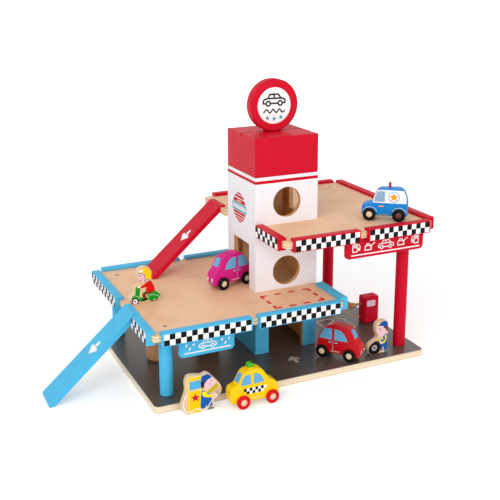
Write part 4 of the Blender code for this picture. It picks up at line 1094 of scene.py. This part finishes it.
figure_picture("scooter_rider", SCOOTER, [
    # scooter and its wheels
    ("scooter_green", blob((8.3, 9.2), (13.3, 8.9), (21.1, 7.6), (21.4, 3.2), (8.3, 3.2))),
    ("black", disc(31.3, 3.4, 6.3, 2.9)), ("white", disc(31.7, 2.9, 2.6, 1.0, 16)),
    ("scooter_green", blob((21.7, 13.2), (25.6, 12.8), (31.1, 15.4), (33.9, 16.6), (37.8, 13.9),
                           (40.8, 10.6), (42.3, 7.2), (40.6, 5.8), (36.7, 4.6), (34.2, 3.2), (25.6, 2.6),
                           (21.9, 3.4), (21.2, 7.8), (20.0, 11.0))),
    ("trim_mint", strokes([smooth_curve([(22.2, 3.9), (21.9, 7.8), (24.4, 10.6), (28.3, 11.3), (34.4, 10.0),
                                         (38.3, 8.3), (40.2, 6.2)], 4)], 0.8)),
    ("scooter_green", blob((2.9, 27.0), (5.8, 27.7), (8.6, 26.0), (10.0, 23.0), (9.2, 18.0), (8.4, 12.4),
                           (8.8, 9.0), (8.2, 4.4), (6.6, 9.4), (1.0, 9.8), (-4.6, 9.2), (-5.6, 10.6),
                           (-3.0, 12.4), (1.6, 14.6), (2.4, 18.0), (2.6, 22.0))),
    ("black", disc(1.4, 4.4, 5.8)),
    ("white", disc(1.4, 4.4, 3.7)),
    ("wheel_blue", disc(1.0, 4.6, 1.6, steps=16)),
    ("scooter_green", blob((-5.4, 10.2), (-1.0, 13.4), (3.6, 13.4), (6.6, 10.0), (7.6, 6.8), (4.6, 8.8),
                           (0.6, 9.6), (-3.6, 9.0))),
    ("trim_mint", strokes([smooth_curve([(2.2, 12.9), (5.6, 11.7), (7.8, 8.0)], 4)], 0.8)),
    # leg, shoe, jacket, and the handlebar with its lamp
    ("mud_brown", blob((15.6, 5.8), (13.4, 10.0), (12.8, 14.4), (15.4, 17.2), (21.1, 18.1), (26.8, 17.6),
                       (32.6, 17.2), (30.6, 15.4), (25.2, 13.2), (21.4, 13.9), (19.4, 13.4), (18.4, 11.6),
                       (19.4, 8.0), (20.6, 5.6))),
    ("black", blob((10.4, 4.6), (15.0, 6.6), (20.8, 5.8), (20.6, 4.2), (14.0, 3.6))),
    ("jacket_red", blob((24.4, 34.6), (26.7, 34.8), (29.4, 30.0), (31.7, 25.6), (32.8, 21.0), (33.2, 17.2),
                        (26.0, 17.6), (18.4, 19.0), (18.9, 22.4), (20.0, 24.4), (16.4, 24.6), (11.8, 24.2),
                        (10.6, 26.6), (15.6, 29.4), (21.1, 33.2))),
    ("white", disc(7.8, 26.6, 1.9, 2.0, 16)),
    ("black", disc(7.9, 24.5, 1.4, 0.8, 16)),
    ("pump_yellow", disc(1.9, 26.0, 1.5, 1.7, 16)),
    # face under a helmet
    ("skin", blob((8.4, 49.2), (7.8, 45.2), (7.4, 42.6), (8.0, 39.6), (9.0, 37.0), (11.4, 35.4),
                  (16.7, 34.2), (23.6, 35.0), (20.0, 38.6), (18.0, 43.0), (17.0, 46.2))),
    ("hair_black", disc(18.0, 35.2, 1.2, steps=16)),
    ("yellow", blob((7.9, 49.9), (9.4, 53.2), (12.2, 55.4), (16.7, 56.2), (21.7, 55.0), (25.6, 52.2),
                    (28.2, 47.8), (28.4, 43.3), (27.4, 39.4), (25.3, 36.3), (20.8, 36.4), (18.2, 38.9),
                    (17.6, 43.3), (16.7, 45.8), (12.2, 48.2))),
    ("wheel_blue", strokes([smooth_curve([(7.9, 49.3), (12.8, 47.4), (17.0, 45.4), (17.5, 42.2),
                                          (17.3, 39.8), (19.2, 37.2), (24.2, 35.9)], 4)], 1.0)),
    ("white", blob((9.2, 50.6), (10.2, 52.4), (12.8, 53.8), (15.1, 52.4), (13.8, 49.8), (11.6, 49.4))),
    ("eye_black", disc(10.6, 44.2, 1.1, 1.2, 16)), ("cheek", disc(13.6, 40.2, 1.4, steps=16)),
    ("lip", disc(10.9, 36.9, 1.6, 0.9, 16))])


# Floor, light and backdrop

FLOOR_REACH = 60.0                      # in metres
FLOOR_DROP = 0.0002                     # in metres, so that the floor never shares a face with the object
LIFT_NEAR = 0.34                        # strength of the floor's lift to white round the object
WHITE_FROM, WHITE_BY = 0.75, 2.2        # metres from the object where the lift starts to rise, and is full


def view_rays(tree):
    """1 for what the camera sees, straight or through a mirror or glass, and 0 for what lights the object."""
    straight, mirrored, through = [add(tree, "LightPath", out=ray)
                                   for ray in ("Is Camera Ray", "Is Glossy Ray", "Is Transmission Ray")]
    either = add(tree, "Math", [straight, mirrored], operation="MAXIMUM")
    return add(tree, "Math", [either, through], operation="MAXIMUM")


def studio_floor():
    """Pale matt floor that keeps the shadow; what is seen of it is lifted, far from the object to white."""
    material = bpy.data.materials.new("studio_floor")
    material.use_nodes = True
    tree = material.node_tree
    tree.nodes.remove(tree.nodes["Principled BSDF"])
    matt = add(tree, "BsdfDiffuse", {"Color": srgb("#F4F4F4")})
    distance = add(tree, "VectorMath", [add(tree, "TexCoord", out="Object")], operation="LENGTH")
    white = add(tree, "MapRange", [distance, WHITE_FROM, WHITE_BY, LIFT_NEAR, 1.0])
    strength = add(tree, "Math", [view_rays(tree), white], operation="MULTIPLY")
    lift = add(tree, "Emission", {"Color": (1.0, 1.0, 1.0, 1.0), "Strength": strength})
    tree.links.new(add(tree, "AddShader", [matt, lift]), tree.nodes["Material Output"].inputs["Surface"])
    return material


bm = bmesh.new()
bmesh.ops.create_grid(bm, x_segments=2, y_segments=2, size=FLOOR_REACH)
floor_mesh = bpy.data.meshes.new("studio_floor")
bm.to_mesh(floor_mesh)
bm.free()
floor_mesh.materials.append(studio_floor())
floor = bpy.data.objects.new("studio_floor", floor_mesh)
floor.location = (0, 0, -FLOOR_DROP)
bpy.context.scene.collection.objects.link(floor)

WORLD_LIGHT = 0.68                      # of the world on the object; what is seen of it is white
world = bpy.data.worlds.new("studio")
world.use_nodes = True
bpy.context.scene.world = world
tree = world.node_tree
strength = add(tree, "MapRange", {"Value": view_rays(tree), "To Min": WORLD_LIGHT, "To Max": 1.0})
background = tree.nodes["Background"]
background.inputs["Color"].default_value = (1.0, 1.0, 1.0, 1.0)
tree.links.new(strength, background.inputs["Strength"])


def softbox(name, place, aim, size, power):
    """A square area lamp at a place, turned to what it aims at, in metres and watts."""
    light = bpy.data.lights.new(name, "AREA")
    light.shape, light.size, light.energy = "SQUARE", size, power
    lamp = bpy.data.objects.new(name, light)
    lamp.location = place
    lamp.rotation_euler = (Vector(aim) - Vector(place)).to_track_quat("-Z", "Y").to_euler()
    bpy.context.scene.collection.objects.link(lamp)


softbox("key_left", (-1.7, -1.5, 1.8), (0.0, 0.0, 0.15), 1.5, 25.0)
softbox("fill_front", (0.4, -2.3, 0.4), (0.0, 0.0, 0.1), 1.6, 14.0)

bpy.context.scene.view_settings.view_transform = "Standard"
